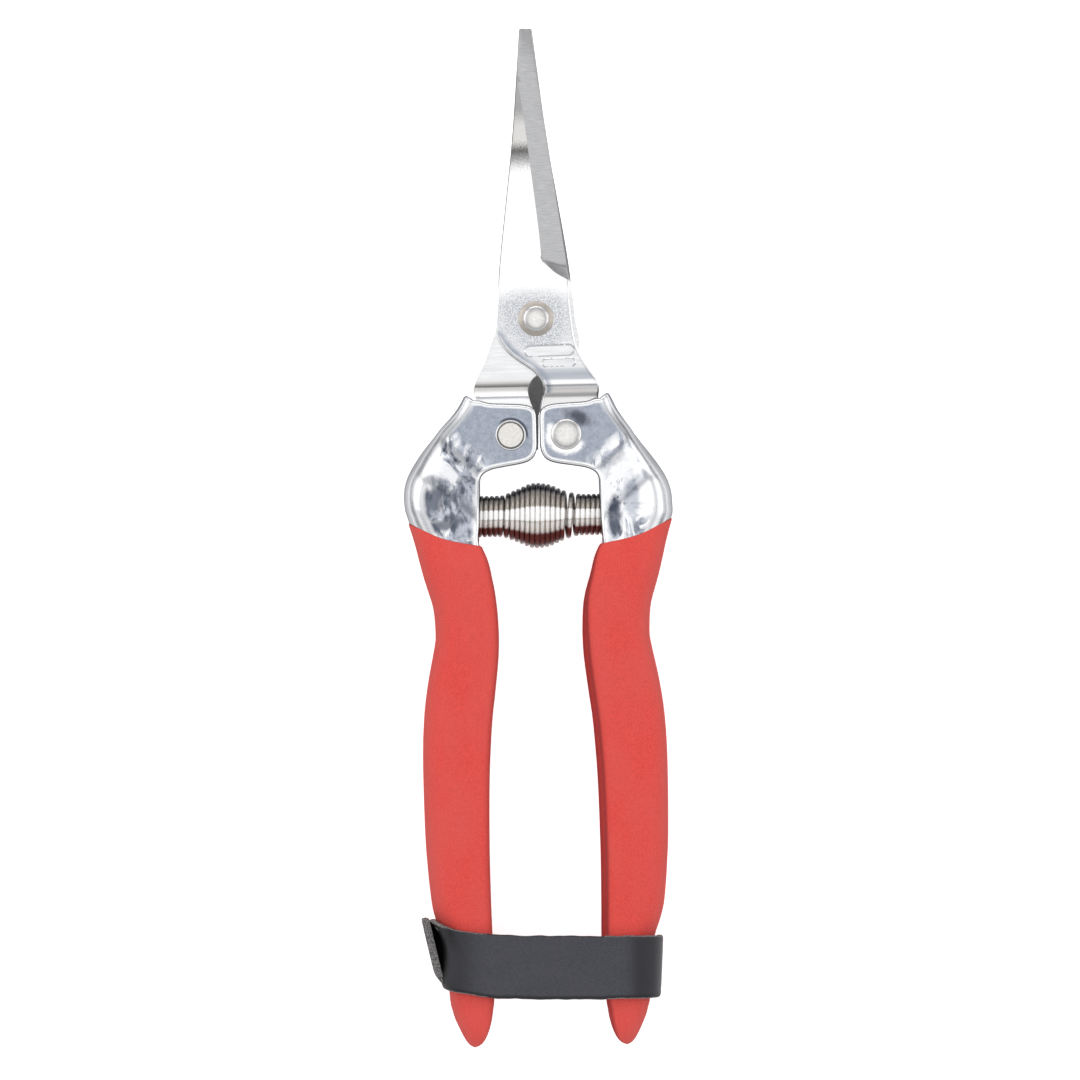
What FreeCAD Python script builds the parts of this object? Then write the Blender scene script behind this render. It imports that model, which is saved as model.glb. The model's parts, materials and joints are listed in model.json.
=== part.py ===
"""Floral snips: two stainless blades on a pivot rivet, two pressed channel handles with dipped grips, a barrel spring and a
leather closing strap. Millimetres. Drawn with the pivot at (0, 0, 0), blades towards +Y, pivot axis along Z, then moved by
PIVOT_Y so that the origin is the centre of the bounding box. The left half is the right half turned half a turn about Y, with
the blade outlines drawn separately."""

import FreeCAD, Part
import math
import os

V = FreeCAD.Vector

# ---------------------------------------------------------------- driving dimensions (mm, degrees)
TIP_Y = 54.15  # blade tip above the pivot
END_Y = -136.10  # end of the grips below the pivot
PIVOT_Y = -(TIP_Y + END_Y) / 2.0  # the pivot's place in the delivered frame

BLADE_T = 2.30  # blade plate
BLADE_GAP = 0.02  # each blade's inner face off the contact plane
EDGE_T = 0.18  # what the grind leaves at the cutting edge
TANG_HALF = 1.14  # tang half thickness, in the mid-plane
PIVOT_R = 2.10  # pivot rivet shank
PIVOT_CLEAR = 0.05  # running clearance in the front blade
WASHER_R = 3.30
WASHER_T = 0.45
DOME_R = 2.47

SHEET = 1.20  # handle sheet
LUG_HALF = TANG_HALF + 0.01 + SHEET  # half thickness over the lug walls
BODY_HALF = 6.00  # half thickness over the handle body
SPINE_R_LUG = 2.35
SPINE_R_BODY = 4.00
RAMP_S0, RAMP_S1 = 27.4, 37.5  # where the lug thickness grows into the body thickness, along RAMP_DIR
RAMP_DIR = (0.64, -0.77)

RIVET_XY = (5.20, -21.70)
RIVET_R = 1.90
RIVET_HEAD_R = 2.925
RIVET_TAIL_R = 2.335

COAT_OUT = 0.90  # grip material over the sheet
COAT_IN = 0.70  # grip material inside the channel
REST_Z = 6.87  # level of the flats the grips rest on
STRAP_PLAY = 0.08  # gap between the strap's legs and the grips
WALL_STEP = 1.30  # how far the narrower wall's edge is set back from the wider one's

SPRING_Y = -36.80
WIRE_R = 0.45
COIL_R = 3.44  # wire centre radius of the parallel coils
SEAT_X = 15.0  # the spring's seats on the tangs

STRAP_T = 1.50


# ---------------------------------------------------------------- curves
def pchip(pts):
    """Monotone cubic through (t, v) pairs, t rising or falling."""
    pts = sorted(pts)
    x = [p[0] for p in pts]
    y = [p[1] for p in pts]
    n = len(x)
    h = [x[i + 1] - x[i] for i in range(n - 1)]
    d = [(y[i + 1] - y[i]) / h[i] for i in range(n - 1)]
    m = [0.0] * n
    m[0], m[-1] = d[0], d[-1]
    for i in range(1, n - 1):
        if d[i - 1] * d[i] <= 0:
            m[i] = 0.0
        else:
            w1, w2 = 2 * h[i] + h[i - 1], h[i] + 2 * h[i - 1]
            m[i] = (w1 + w2) / (w1 / d[i - 1] + w2 / d[i])

    def f(t):
        if t <= x[0]:
            return y[0] + m[0] * (t - x[0])
        if t >= x[-1]:
            return y[-1] + m[-1] * (t - x[-1])
        i = 0
        while t > x[i + 1]:
            i += 1
        s = (t - x[i]) / h[i]
        a, b = (1 + 2 * s) * (1 - s) ** 2, s * (1 - s) ** 2
        c, e = s * s * (3 - 2 * s), s * s * (s - 1)
        return a * y[i] + b * h[i] * m[i] + c * y[i + 1] + e * h[i] * m[i + 1]

    return f


def smooth(a, b, t):
    t = min(1.0, max(0.0, (t - a) / (b - a)))
    return t * t * (3 - 2 * t)


# outer edge of the right handle's sheet, x at y
SPINE = pchip(
    [
        (-12.0, 11.90), (-14.4, 13.48), (-15.9, 14.45), (-17.4, 15.63), (-18.9, 16.78), (-20.4, 17.96), (-21.9, 19.06),
        (-23.4, 20.25), (-24.9, 21.42), (-26.4, 22.46), (-27.9, 23.42), (-29.4, 24.20), (-30.9, 24.72), (-32.4, 24.98),
        (-33.9, 25.08), (-35.4, 25.05), (-36.9, 24.80), (-38.4, 24.28), (-39.9, 23.60), (-42.3, 22.66), (-45.1, 21.85),
        (-47.9, 21.12), (-50.7, 20.28), (-53.5, 19.50), (-56.3, 19.20), (-59.2, 19.12), (-62.0, 19.55), (-64.8, 20.13),
        (-67.6, 20.68), (-70.4, 21.14), (-73.2, 21.50), (-76.0, 21.72), (-78.8, 21.88), (-84.4, 21.98), (-90.1, 21.94),
        (-95.7, 21.84), (-98.5, 21.74), (-101.3, 21.56), (-104.1, 21.36), (-106.9, 21.10), (-109.7, 20.75),
        (-112.5, 20.00), (-115.7, 18.93), (-120.0, 18.38), (-124.0, 18.05), (-127.5, 17.80), (-129.4, 17.30),
        (-132.2, 16.20), (-135.0, 14.70), (-136.1, 13.80), (-138.0, 11.80),
    ]
)
# inner edge of the wider wall, grip included, x at y
MOUTH = pchip(
    [
        (-40.0, 10.4), (-42.6, 10.10), (-45.1, 9.73), (-47.9, 9.27), (-50.7, 8.75), (-53.5, 8.42), (-56.3, 8.22), (-59.2, 8.14),
        (-62.0, 8.22), (-64.8, 8.45), (-67.6, 8.78), (-70.4, 9.12), (-73.2, 9.50), (-76.0, 9.80), (-78.8, 10.01),
        (-84.4, 10.36), (-90.1, 10.55), (-95.7, 10.65), (-101.3, 10.70), (-109.7, 10.62), (-115.0, 10.52), (-127.5, 10.48),
        (-129.4, 10.76), (-132.2, 11.41), (-135.0, 12.82),
    ]
)
BODY_H = pchip([(0, BODY_HALF), (-50, BODY_HALF), (-98, BODY_HALF), (-104, 5.80), (-112, 5.15), (-120, 4.45), (-127, 3.95),
                (-131, 3.50), (-134, 2.95), (-136.1, 2.10), (-138, 1.30)])  # fmt: skip


def wall_half(x, y):
    """Outer half thickness of the handle at a place in plan."""
    s = RAMP_DIR[0] * x + RAMP_DIR[1] * y
    return LUG_HALF + (BODY_H(y) - LUG_HALF) * smooth(RAMP_S0, RAMP_S1, s)


def inset_spine(depth):
    """The outer edge moved inwards by depth (a number, or a function of y) along its own normal, x at y."""
    pts = []
    y = -10.0
    while y > -139.0:
        x = SPINE(y)
        t = depth(y) if callable(depth) else depth
        k = (SPINE(y + 0.05) - SPINE(y - 0.05)) / 0.1
        n = math.hypot(1.0, k)
        pts.append((y + t * k / n, x - t / n))
        y -= 0.5
    pts.sort()
    clean = [pts[0]]
    for p in pts[1:]:
        if p[0] > clean[-1][0] + 0.05:
            clean.append(p)
    return pchip(clean)


def skin(depth, y_top, y_end, x_in, stations):
    """Solid bounded by the handle's outer skin moved inwards by depth (outwards where negative; a number, or a function of
    y), closed at x_in and at both ends."""
    edge = inset_spine(depth)
    grid = []
    for j in range(stations + 1):
        f = j / stations
        y = y_top + (y_end - y_top) * f
        t = depth(y) if callable(depth) else depth
        xo = edge(y)
        slope = (edge(y + 0.05) - edge(y - 0.05)) / 0.1
        sec = min(1.9, math.hypot(1.0, slope))
        b = smooth(RAMP_S0, RAMP_S1, RAMP_DIR[0] * xo + RAMP_DIR[1] * y)
        r = SPINE_R_LUG + (SPINE_R_BODY - SPINE_R_LUG) * b - t
        h_at = lambda x: wall_half(x, y) - t
        r = min(r, h_at(xo) - 0.2)
        a = r * sec
        xc = xo - a
        half = []
        n_flat, n_arc, n_side = 16, 9, 2
        for i in range(n_flat):
            u = i / n_flat
            x = x_in + (xc - x_in) * u
            half.append((x, h_at(x)))
        for i in range(n_arc + 1):
            q = math.pi / 2 * i / n_arc
            x = xc + a * math.sin(q)
            h = h_at(x)
            half.append((x, h - r + r * math.cos(q)))
        zc = half[-1][1]
        for i in range(1, n_side + 1):
            half.append((xo, zc * (1 - i / n_side)))
        full = half + [(x, -z) for x, z in reversed(half[:-1])]
        grid.append([V(x, y, z) for x, z in full])
    surf = Part.BSplineSurface()
    nu, nv = len(grid), len(grid[0])
    ku, kv = nu - 2, nv - 2
    surf.buildFromPolesMultsKnots(
        grid, [4] + [1] * (ku - 2) + [4], [4] + [1] * (kv - 2) + [4],
        [float(i) for i in range(ku)], [float(i) for i in range(kv)], False, False, 3, 3
    )  # fmt: skip
    outer = surf.toShape()
    face = outer.Faces[0]
    first, last = grid[0], grid[-1]

    def pick(p, q):
        for e in face.Edges:
            a, b = e.Vertexes[0].Point, e.Vertexes[-1].Point
            if (a.distanceToPoint(p) < 1e-5 and b.distanceToPoint(q) < 1e-5) or (
                a.distanceToPoint(q) < 1e-5 and b.distanceToPoint(p) < 1e-5
            ):
                return e
        raise ValueError("edge")

    e_top = pick(first[0], first[-1])
    e_end = pick(last[0], last[-1])
    e_up = pick(first[0], last[0])
    e_dn = pick(first[-1], last[-1])
    l_top = Part.makeLine(first[0], first[-1])
    l_end = Part.makeLine(last[0], last[-1])
    caps = [
        Part.Face(Part.Wire([e_top, l_top])),
        Part.Face(Part.Wire([e_end, l_end])),
        Part.Face(Part.Wire(Part.__sortEdges__([e_up, l_end, e_dn, l_top]))),
    ]
    skinned = Part.makeCompound([face] + caps)
    skinned.sewShape(1e-4)
    solid = Part.makeSolid(skinned.Shells[0])
    if solid.Volume < 0:
        solid.reverse()
    return solid


def wire(segments):
    """Closed wire at z = 0 from runs of (x, y) points: two points make a line, more a smooth curve; runs join end to end."""
    edges = []
    for run in segments:
        pts = [V(x, y, 0) for x, y in run]
        if len(pts) == 2:
            edges.append(Part.makeLine(pts[0], pts[1]))
        else:
            c = Part.BSplineCurve()
            c.interpolate(pts)
            edges.append(c.toShape())
    return Part.Wire(edges)


def prism(segments, z0, z1):
    w = wire(segments)
    w.translate(V(0, 0, z0))
    return Part.Face(w).extrude(V(0, 0, z1 - z0))


def polygon(points, z0, z1):
    pts = [V(x, y, z0) for x, y in points]
    return Part.Face(Part.makePolygon(pts + [pts[0]])).extrude(V(0, 0, z1 - z0))


def side_profile(points, x0, x1):
    """Prism along X from (y, z) points."""
    pts = [V(x0, y, z) for y, z in points]
    return Part.Face(Part.makePolygon(pts + [pts[0]])).extrude(V(x1 - x0, 0, 0))


def turned(shape):
    """The same shape half a turn about Y: the other half of the snips."""
    s = shape.copy()
    s.rotate(V(0, 0, 0), V(0, 1, 0), 180)
    return s


def cyl(r, z0, z1, x=0.0, y=0.0):
    return Part.makeCylinder(r, z1 - z0, V(x, y, z0))


def revolved(profile, x=0.0, y=0.0):
    """Solid of revolution about a line along Z through (x, y), from (r, z) points."""
    pts = [V(r, 0, z) for r, z in profile]
    f = Part.Face(Part.makePolygon(pts + [pts[0]]))
    s = f.revolve(V(0, 0, 0), V(0, 0, 1), 360)
    s.translate(V(x, y, 0))
    return s


def dome(r, z_base, z_top, n=10):
    """(r, z) points of a shallow dome from its rim to its crown."""
    out = []
    for i in range(n + 1):
        q = math.pi / 2 * i / n
        out.append((r * math.cos(q), z_base + (z_top - z_base) * math.sin(q)))
    out[-1] = (0.0, z_top)
    return out


# ---------------------------------------------------------------- blades
TANG_EDGE = inset_spine(2.50)  # the tang stays clear of the rounded spine


def rot(p, deg):
    a = math.radians(deg)
    return (p[0] * math.cos(a) - p[1] * math.sin(a), p[0] * math.sin(a) + p[1] * math.cos(a))


def tang_tail(start):
    """The hidden part of a tang from its outer edge at `start` round to its inner edge at (0.32, -18.6): along the spine,
    across the spring's seat with its peg, and back under the lug."""
    outer = [start, (12.2, -15.9)]
    y = -17.6
    while y > -38.0:
        outer.append((TANG_EDGE(y), y))
        y -= 2.0
    outer.append((TANG_EDGE(-39.6), -39.6))
    x_e = TANG_EDGE(-39.6)
    peg = 2.45
    return [
        outer,
        [(x_e, -39.6), (x_e - 1.6, -41.6)],
        [(x_e - 1.6, -41.6), (SEAT_X + 0.6, -41.6)],
        [(SEAT_X + 0.6, -41.6), (SEAT_X, -41.0)],
        [(SEAT_X, -41.0), (SEAT_X, SPRING_Y - peg)],
        [(SEAT_X, SPRING_Y - peg), (10.9, SPRING_Y - peg)],
        [(10.9, SPRING_Y - peg), (10.15, SPRING_Y - peg + 0.9), (9.95, SPRING_Y), (10.15, SPRING_Y + peg - 0.9), (10.9, SPRING_Y + peg)],
        [(10.9, SPRING_Y + peg), (SEAT_X, SPRING_Y + peg)],
        [(SEAT_X, SPRING_Y + peg), (SEAT_X, -33.4)],
        [(SEAT_X, -33.4), (13.4, -31.2), (11.6, -29.5), (9.4, -28.1), (6.4, -27.0), (3.4, -26.4), (1.9, -25.9), (1.0, -25.2), (0.6, -24.2), (0.32, -22.8)],
        [(0.32, -22.8), (0.32, -18.6)],
    ]


FRONT_BEVEL_END = [(1.28, 10.83), (2.08, 10.07), (3.66, 8.61), (5.09, 7.68), (6.57, 7.03), (7.6, 6.75)]
FRONT = {
    "spine": [(-2.05, 54.15), (-2.81, 44.81), (-3.79, 33.59), (-5.15, 22.39), (-6.51, 11.18), (-7.22, 3.71), (-7.66, -0.4)],
    "shoulder": [(-7.66, -0.4), (-7.62, -2.1), (-7.15, -3.8), (-6.3, -5.15), (-5.2, -6.45), (-3.9, -7.55), (-2.5, -8.55), (-1.2, -9.45), (-0.2, -10.4), (0.6, -11.4), (1.05, -12.45), (1.12, -13.4), (0.93, -14.51), (0.62, -15.68), (0.38, -17.0), (0.32, -18.6)],
    "edge": [(6.34, 7.30), (0.01, 54.11)],
    "base": [(6.08, 6.95), (6.34, 3.42), (6.72, 0.05), (6.95, -2.2), (7.35, -4.5), (8.2, -6.9), (9.2, -8.8), (10.35, -10.45), (11.25, -11.75), (11.62, -13.1), (11.42, -14.3), (11.35, -14.95)],
    "tip": (0.01, 54.11),
    "bevel": [(-2.62, 47.6), (-2.25, 42.92), (-1.70, 39.0), (-1.01, 33.24), (-0.25, 26.41), (0.35, 21.04), (0.86, 16.2), (1.28, 10.83)],
}
LEAN = -1.80  # the two blades' tips lean the same way when the handles are closed


def leaned(pts):
    return [rot(p, LEAN) for p in pts]


BACK = {
    "spine": leaned(FRONT["spine"][:5]) + [(-7.02, 3.60), (-7.34, -0.4)],
    "shoulder": [(-7.34, -0.4), (-7.72, -2.3), (-8.05, -4.4), (-7.75, -6.0), (-6.6, -7.2), (-4.9, -8.0), (-3.2, -8.75), (-1.5, -9.55), (-0.2, -10.4), (0.95, -11.4), (1.6, -12.5), (1.76, -13.5), (1.62, -14.6), (1.3, -15.7), (0.75, -17.1), (0.32, -18.6)],
    "edge": [rot((6.34, 7.30), LEAN), rot((0.01, 54.11), LEAN)],
    "base": [rot((6.08, 6.95), LEAN), (6.62, 3.3), (7.05, 0.2), (7.62, -2.1), (8.42, -4.2), (9.2, -6.4), (9.95, -8.3), (10.9, -10.1), (11.62, -11.7), (11.93, -13.2), (11.75, -14.3), (11.45, -14.95)],
    "tip": rot((0.01, 54.11), LEAN),
    "bevel": leaned(FRONT["bevel"]),
}


def blade(o):
    """A blade with its grind facing +Z, lying on the contact plane, its tang stepping down to the mid-plane."""
    tip = o["tip"]
    segs = [
        list(reversed(o["spine"])),
        [o["spine"][0], ((o["spine"][0][0] + tip[0]) / 2.0, max(o["spine"][0][1], tip[1]) + 0.01), tip],
        [tip, o["edge"][0]],
        [o["edge"][0], o["base"][0]],
        o["base"],
    ]
    segs += tang_tail(o["base"][-1])
    segs += [list(reversed(o["shoulder"]))]
    z0, z1 = BLADE_GAP, BLADE_GAP + BLADE_T
    body = prism(segs, -2.0, z1 + 0.5)
    side = side_profile(
        [(60, z0), (60, z1), (-12.3, z1), (-13.9, TANG_HALF), (-45, TANG_HALF), (-45, -TANG_HALF), (-13.5, -TANG_HALF), (-11.9, z0)],
        -30,
        30,
    )
    s = body.common(side)
    # ground bevel: a wedge off the outer face from the bevel line down to the cutting edge
    sections = []
    b = o["bevel"]
    e0, e1 = o["edge"]
    bx = pchip([(p[1], p[0]) for p in b])
    for y in (58.0, 50.0, 42.9, 35.0, 26.4, 18.0, 10.8, 4.0):
        x_in = bx(min(y, 47.6)) if y > 12 else bx(y)
        k = (y - e0[1]) / (e1[1] - e0[1])
        x_out = e0[0] + (e1[0] - e0[0]) * k
        if y > 47.6:
            x_in = bx(47.6) + (y - 47.6) * 0.035
        width = x_out - x_in
        drop = (BLADE_T - EDGE_T) * min(1.0, 0.55 + 0.45 * min(1.0, width / 2.5))
        slope = drop / width
        far = x_out + 3.0
        sections.append(
            Part.makePolygon(
                [V(x_in, y, z1), V(far, y, z1 - slope * (far - x_in)), V(far, y, z1 + 3), V(x_in, y, z1 + 3), V(x_in, y, z1)]
            )
        )
    wedge = Part.makeLoft(sections, True, True)
    end = [rot(p, 0 if o is FRONT else LEAN) for p in FRONT_BEVEL_END]
    keep = prism([[(-12, 62), (-12, 10.4)], [(-12, 10.4), (end[0][0] - 0.6, end[0][1] + 0.6)], [(end[0][0] - 0.6, end[0][1] + 0.6)] + end, [end[-1], (14, 6.5)], [(14, 6.5), (14, 62)], [(14, 62), (-12, 62)]], -3, 8)
    s = s.cut(wedge.common(keep))
    return s


front_blade = blade(FRONT)
back_blade_up = blade(BACK)

# plain raised pads where the maker's marking would be
pad = polygon([(-2.4, -5.15), (6.75, -4.95), (7.0, -6.90), (-2.1, -7.10)], BLADE_GAP + BLADE_T - 0.05, BLADE_GAP + BLADE_T + 0.08)
pad2 = polygon([(0.9, -7.60), (7.1, -7.45), (7.4, -9.00), (1.2, -9.15)], BLADE_GAP + BLADE_T - 0.05, BLADE_GAP + BLADE_T + 0.08)
front_blade = front_blade.fuse([pad, pad2]).removeSplitter()

front_blade = front_blade.cut(cyl(PIVOT_R + PIVOT_CLEAR, -1, 5))
front_blade = front_blade.cut(cyl(RIVET_R, -3, 3, *RIVET_XY))
back_blade = turned(back_blade_up.cut(cyl(PIVOT_R, -1, 5)).cut(cyl(RIVET_R, -3, 3, *RIVET_XY)))

# ---------------------------------------------------------------- handles
LUG_TOP = [(0.25, -18.78), (0.36, -17.6), (0.70, -16.95), (1.3, -16.45), (2.6, -16.0), (5.66, -15.76), (8.28, -15.68), (10.2, -15.45), (11.1, -15.15), (11.75, -14.68), (12.5, -14.42), (13.2, -14.42), (14.6, -14.6)]
LUG_LOW = [(11.10, -30.6), (11.02, -29.75), (10.6, -29.05), (9.9, -28.5), (8.85, -28.02), (6.43, -27.58), (3.3, -27.08), (1.9, -26.65), (1.0, -26.0), (0.5, -25.2), (0.27, -24.3), (0.25, -23.3)]


def mouth_run(y0, y1, extra, step=2.8):
    n = max(3, int(round((y0 - y1) / step)))
    return [(MOUTH(y0 + (y1 - y0) * i / n) + extra(y0 + (y1 - y0) * i / n), y0 + (y1 - y0) * i / n) for i in range(n + 1)]


def sheet_plan(extra, z0, z1):
    """Plan of one wall of the channel, from z0 to z1."""
    inner = [(11.10, -30.6), (11.12, -33.0), (11.2, -36.0), (11.3, -39.5)] + mouth_run(-44.0, -126.0, lambda y: COAT_OUT + extra * smooth(-39.0, -46.0, y) * (1 - smooth(-116.0, -126.0, y)))
    end = inner[-1]
    return prism(
        [
            LUG_TOP,
            [(14.6, -14.6), (34, -14.6)],
            [(34, -14.6), (34, -133.3)],
            [(34, -133.3), (14.3, -133.3)],
            [(14.3, -133.3), (12.9, -132.0), (12.0, -130.0), (11.6, -128.0), end],
            list(reversed(inner)),
            LUG_LOW,
            [(0.25, -23.3), (0.25, -18.78)],
        ],
        z0,
        z1,
    )


outer_block = skin(0.0, -13.0, -134.5, -4.0, 66)
inner_block = skin(SHEET, -11.5, -136.0, -4.5, 66)
plan = sheet_plan(WALL_STEP, 0, 9).fuse(sheet_plan(0.0, -9, 0))
channel = outer_block.cut(inner_block).common(plan)
if len(channel.Solids) > 1:
    channel = max(channel.Solids, key=lambda s: s.Volume)
right_handle = channel.cut(cyl(RIVET_R, -4, 4, *RIVET_XY))

# ---------------------------------------------------------------- grips
GRIP_TOP = [(7.0, -43.4), (9.5, -42.85), (11.1, -42.35), (13.0, -41.95), (14.7, -41.65), (16.9, -41.15), (18.7, -40.6), (21.5, -39.35), (22.7, -38.75), (24.4, -37.9), (29.0, -35.6)]


def grip_plan(extra, z0, z1):
    inner = mouth_run(-44.5, -127.0, lambda y: extra * smooth(-40.0, -46.0, y) * (1 - smooth(-116.0, -126.0, y)))
    inner = [(MOUTH(-40.0) + extra * 0.3, -40.0)] + inner
    tip = [(10.48, -127.0), (10.72, -129.4), (10.98, -130.9), (11.30, -132.2), (11.66, -133.3), (12.06, -134.2), (12.5, -134.95), (13.0, -135.5), (13.5, -135.85), (14.3, END_Y)]
    tip += [(14.95, -135.85), (15.36, -135.5), (15.82, -134.95), (16.25, -134.2), (16.78, -133.2), (17.22, -132.2), (17.8, -130.9), (18.3, -129.3), (18.7, -127.8)]
    return prism(
        [
            [(29.0, -35.6), (34, -35.6)],
            [(34, -35.6), (34, -127.8)],
            [(34, -127.8), (18.7, -127.8)],
            list(reversed(tip)),
            [(tip[0][0], tip[0][1])] + list(reversed(inner))[1:],
            [inner[0], (7.0, -40.0)],
            [(7.0, -40.0), (7.0, -35.6)],
            [(7.0, -35.6), (29.0, -35.6)],
        ],
        z0,
        z1,
    )


def coat(y):
    """Grip thickness over the sheet, feathered towards the dip line."""
    return -(0.22 + (COAT_OUT - 0.22) * smooth(-36.5, -43.5, y))


grip_outer = skin(coat, -34.0, -136.9, -3.0, 52)
grip_inner = skin(SHEET + COAT_IN, -32.0, -129.3, -3.5, 50)
dip = prism([GRIP_TOP, [(29.0, -35.6), (34, -35.6)], [(34, -35.6), (34, -140)], [(34, -140), (7.0, -140)], [(7.0, -140), (7.0, -43.4)]], -10, 10)
gplan = grip_plan(WALL_STEP, 0, 9).fuse(grip_plan(0.0, -9, 0)).common(dip)
grip = grip_outer.cut(grip_inner).common(gplan)
right_grip = grip.cut(channel)
if len(right_grip.Solids) > 1:
    right_grip = max(right_grip.Solids, key=lambda s: s.Volume)
for z in (-REST_Z - 2.0, REST_Z):  # level flats, back and front, on which the closed tool lies
    right_grip = right_grip.cut(Part.makeBox(26.0, 32.0, 2.0, V(3.0, -94.0, z)))

left_handle = turned(right_handle)
left_grip = turned(right_grip)

# ---------------------------------------------------------------- rivets
zt = BLADE_GAP + BLADE_T
pivot_rivet = revolved(
    [(0, -zt - 1.25)] + [(2.95 * math.sin(math.pi / 2 * i / 8), -zt - 0.35 - 0.9 * math.cos(math.pi / 2 * i / 8)) for i in range(1, 9)]
    + [(2.95, -zt), (PIVOT_R, -zt), (PIVOT_R, zt + 0.04 + WASHER_T), (DOME_R, zt + 0.04 + WASHER_T), (DOME_R, zt + 0.04 + WASHER_T + 0.35)]
    + dome(DOME_R, zt + 0.04 + WASHER_T + 0.35, zt + 0.04 + WASHER_T + 0.85)[1:]
)
pivot_washer = revolved(
    [(PIVOT_R + 0.04, zt + 0.04 + WASHER_T - 0.28), (PIVOT_R + 0.04, zt + 0.04 + WASHER_T), (2.55, zt + 0.04 + WASHER_T), (WASHER_R, zt + 0.04 + 0.20), (WASHER_R, zt + 0.04), (WASHER_R - 0.3, zt + 0.04)]
)

lz = LUG_HALF
rivet = revolved(
    [(0, -lz - 0.75), (RIVET_TAIL_R - 0.25, -lz - 0.75), (RIVET_TAIL_R, -lz - 0.5), (RIVET_TAIL_R, -lz - 0.32), (2.72, -lz - 0.28), (2.85, -lz)]
    + [(RIVET_R, -lz), (RIVET_R, lz), (RIVET_HEAD_R, lz), (RIVET_HEAD_R, lz + 0.25)]
    + dome(RIVET_HEAD_R, lz + 0.25, lz + 1.15)[1:],
    *RIVET_XY,
)
right_handle_rivet = rivet
left_handle_rivet = turned(rivet)

# ---------------------------------------------------------------- spring
HIDDEN = 3.55
HIDDEN_R = 3.86
VIS_X = [-11.14, -10.18, -9.22, -8.26, -7.30, -6.16, -5.15, -4.215, -3.28, -2.345, -1.41, -0.475, 0.46, 1.395, 2.33, 3.265, 4.20, 5.60, 7.00, 7.96, 8.92, 9.88, 10.84]
VIS_R = [3.44, 3.44, 3.44, 3.44, 3.46, 3.78, 4.21, 4.56, 4.97, 5.38, 5.65, 5.71, 5.62, 5.47, 5.17, 4.72, 4.32, 3.87, 3.54, 3.46, 3.44, 3.44, 3.44]
N_VIS = len(VIS_X) - 1
PITCH = 0.961
XF = pchip([(-HIDDEN, VIS_X[0] - PITCH * HIDDEN), (-2.0, VIS_X[0] - PITCH * 2), (-1.0, VIS_X[0] - PITCH)] + list(enumerate(VIS_X)) + [(N_VIS + 1.0, VIS_X[-1] + PITCH), (N_VIS + 2.0, VIS_X[-1] + PITCH * 2), (N_VIS + HIDDEN_R, VIS_X[-1] + PITCH * HIDDEN_R)])
RF = pchip([(-HIDDEN, COIL_R), (-1.0, COIL_R)] + list(enumerate(VIS_R)) + [(N_VIS + 1.0, COIL_R), (N_VIS + HIDDEN_R, COIL_R)])
PER = 14
TURNS = N_VIS + HIDDEN + HIDDEN_R
n_pts = int(round(TURNS * PER))
pts = []
for i in range(n_pts + 1):
    k = -HIDDEN + TURNS * i / n_pts
    a = 2 * math.pi * k
    pts.append(V(XF(k), SPRING_Y + RF(k) * math.sin(a), RF(k) * math.cos(a)))
curve = Part.BSplineCurve()
curve.interpolate(pts)
path = Part.Wire([curve.toShape()])
tan = curve.tangent(curve.FirstParameter)[0]
ring = Part.Wire([Part.Circle(pts[0], tan, WIRE_R).toShape()])
spring = path.makePipeShell([ring], True, True)


# ---------------------------------------------------------------- strap
def strap_section(y):
    """Outer and inner outline of the strap's cross-section at a height y, as matching runs of (x, z) points."""
    f = (y + 112.0) / -15.0
    lerp = lambda a, b: a + (b - a) * f
    xr = lerp(21.65, 20.72)
    fo, fi, leg = lerp(-23.75, -20.50), lerp(-22.05, -18.98), lerp(-21.02, -18.84)
    hz = lerp(6.12, 4.95)  # inner half height
    ho = hz + STRAP_T
    fe = lerp(4.7, 4.1)  # the lap's free end
    return dict(xr=xr, fo=fo, fi=fi, leg=leg, hz=hz, ho=ho, fe=fe)


def arc_pts(cx, cz, rx, rz, q0, q1, n=6):
    return [(cx + rx * math.cos(math.radians(q0 + (q1 - q0) * i / n)), cz + rz * math.sin(math.radians(q0 + (q1 - q0) * i / n))) for i in range(n + 1)]


def strap_outer(y):
    s = strap_section(y)
    r = 4.6
    p = arc_pts(s["xr"] - r, s["ho"] - r, r, r, 90, 0)  # front right corner
    p += arc_pts(s["xr"] - r, -s["ho"] + r, r, r, 0, -90)
    rl = 4.6
    p += arc_pts(s["fo"] + rl, -s["ho"] + rl, rl, rl, -90, -180)
    p += [(s["fo"], s["fe"] - 0.25), (s["fo"] + 0.25, s["fe"]), (s["fi"] - 0.25, s["fe"]), (s["fi"], s["fe"] - 0.3)]
    rb = 3.6
    p += arc_pts(s["fi"] + rb, s["ho"] - rb, rb, rb, 180, 90)
    return [V(x, y, z) for x, z in p]


def strap_inner(y):
    s = strap_section(y)
    r = 3.1
    xr = s["xr"] - STRAP_T + STRAP_PLAY
    leg = s["leg"] - STRAP_PLAY
    p = arc_pts(xr - r, s["hz"] - r, r, r, 90, 0)
    p += arc_pts(xr - r, -s["hz"] + r, r, r, 0, -90)
    rl = 2.9
    lo = s["fi"] + 0.02
    p += arc_pts(lo + rl, -s["hz"] + rl, rl, rl, -90, -180)
    p += [(lo, -1.6), (leg, -1.6)]
    rb = 2.4
    p += arc_pts(leg + rb, s["hz"] - rb, rb, rb, 180, 90)
    return [V(x, y, z) for x, z in p]


def ruled(f, y0, y1):
    a, b = f(y0), f(y1)
    return Part.makeLoft([Part.makePolygon(a + [a[0]]), Part.makePolygon(b + [b[0]])], True, True)


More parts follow.
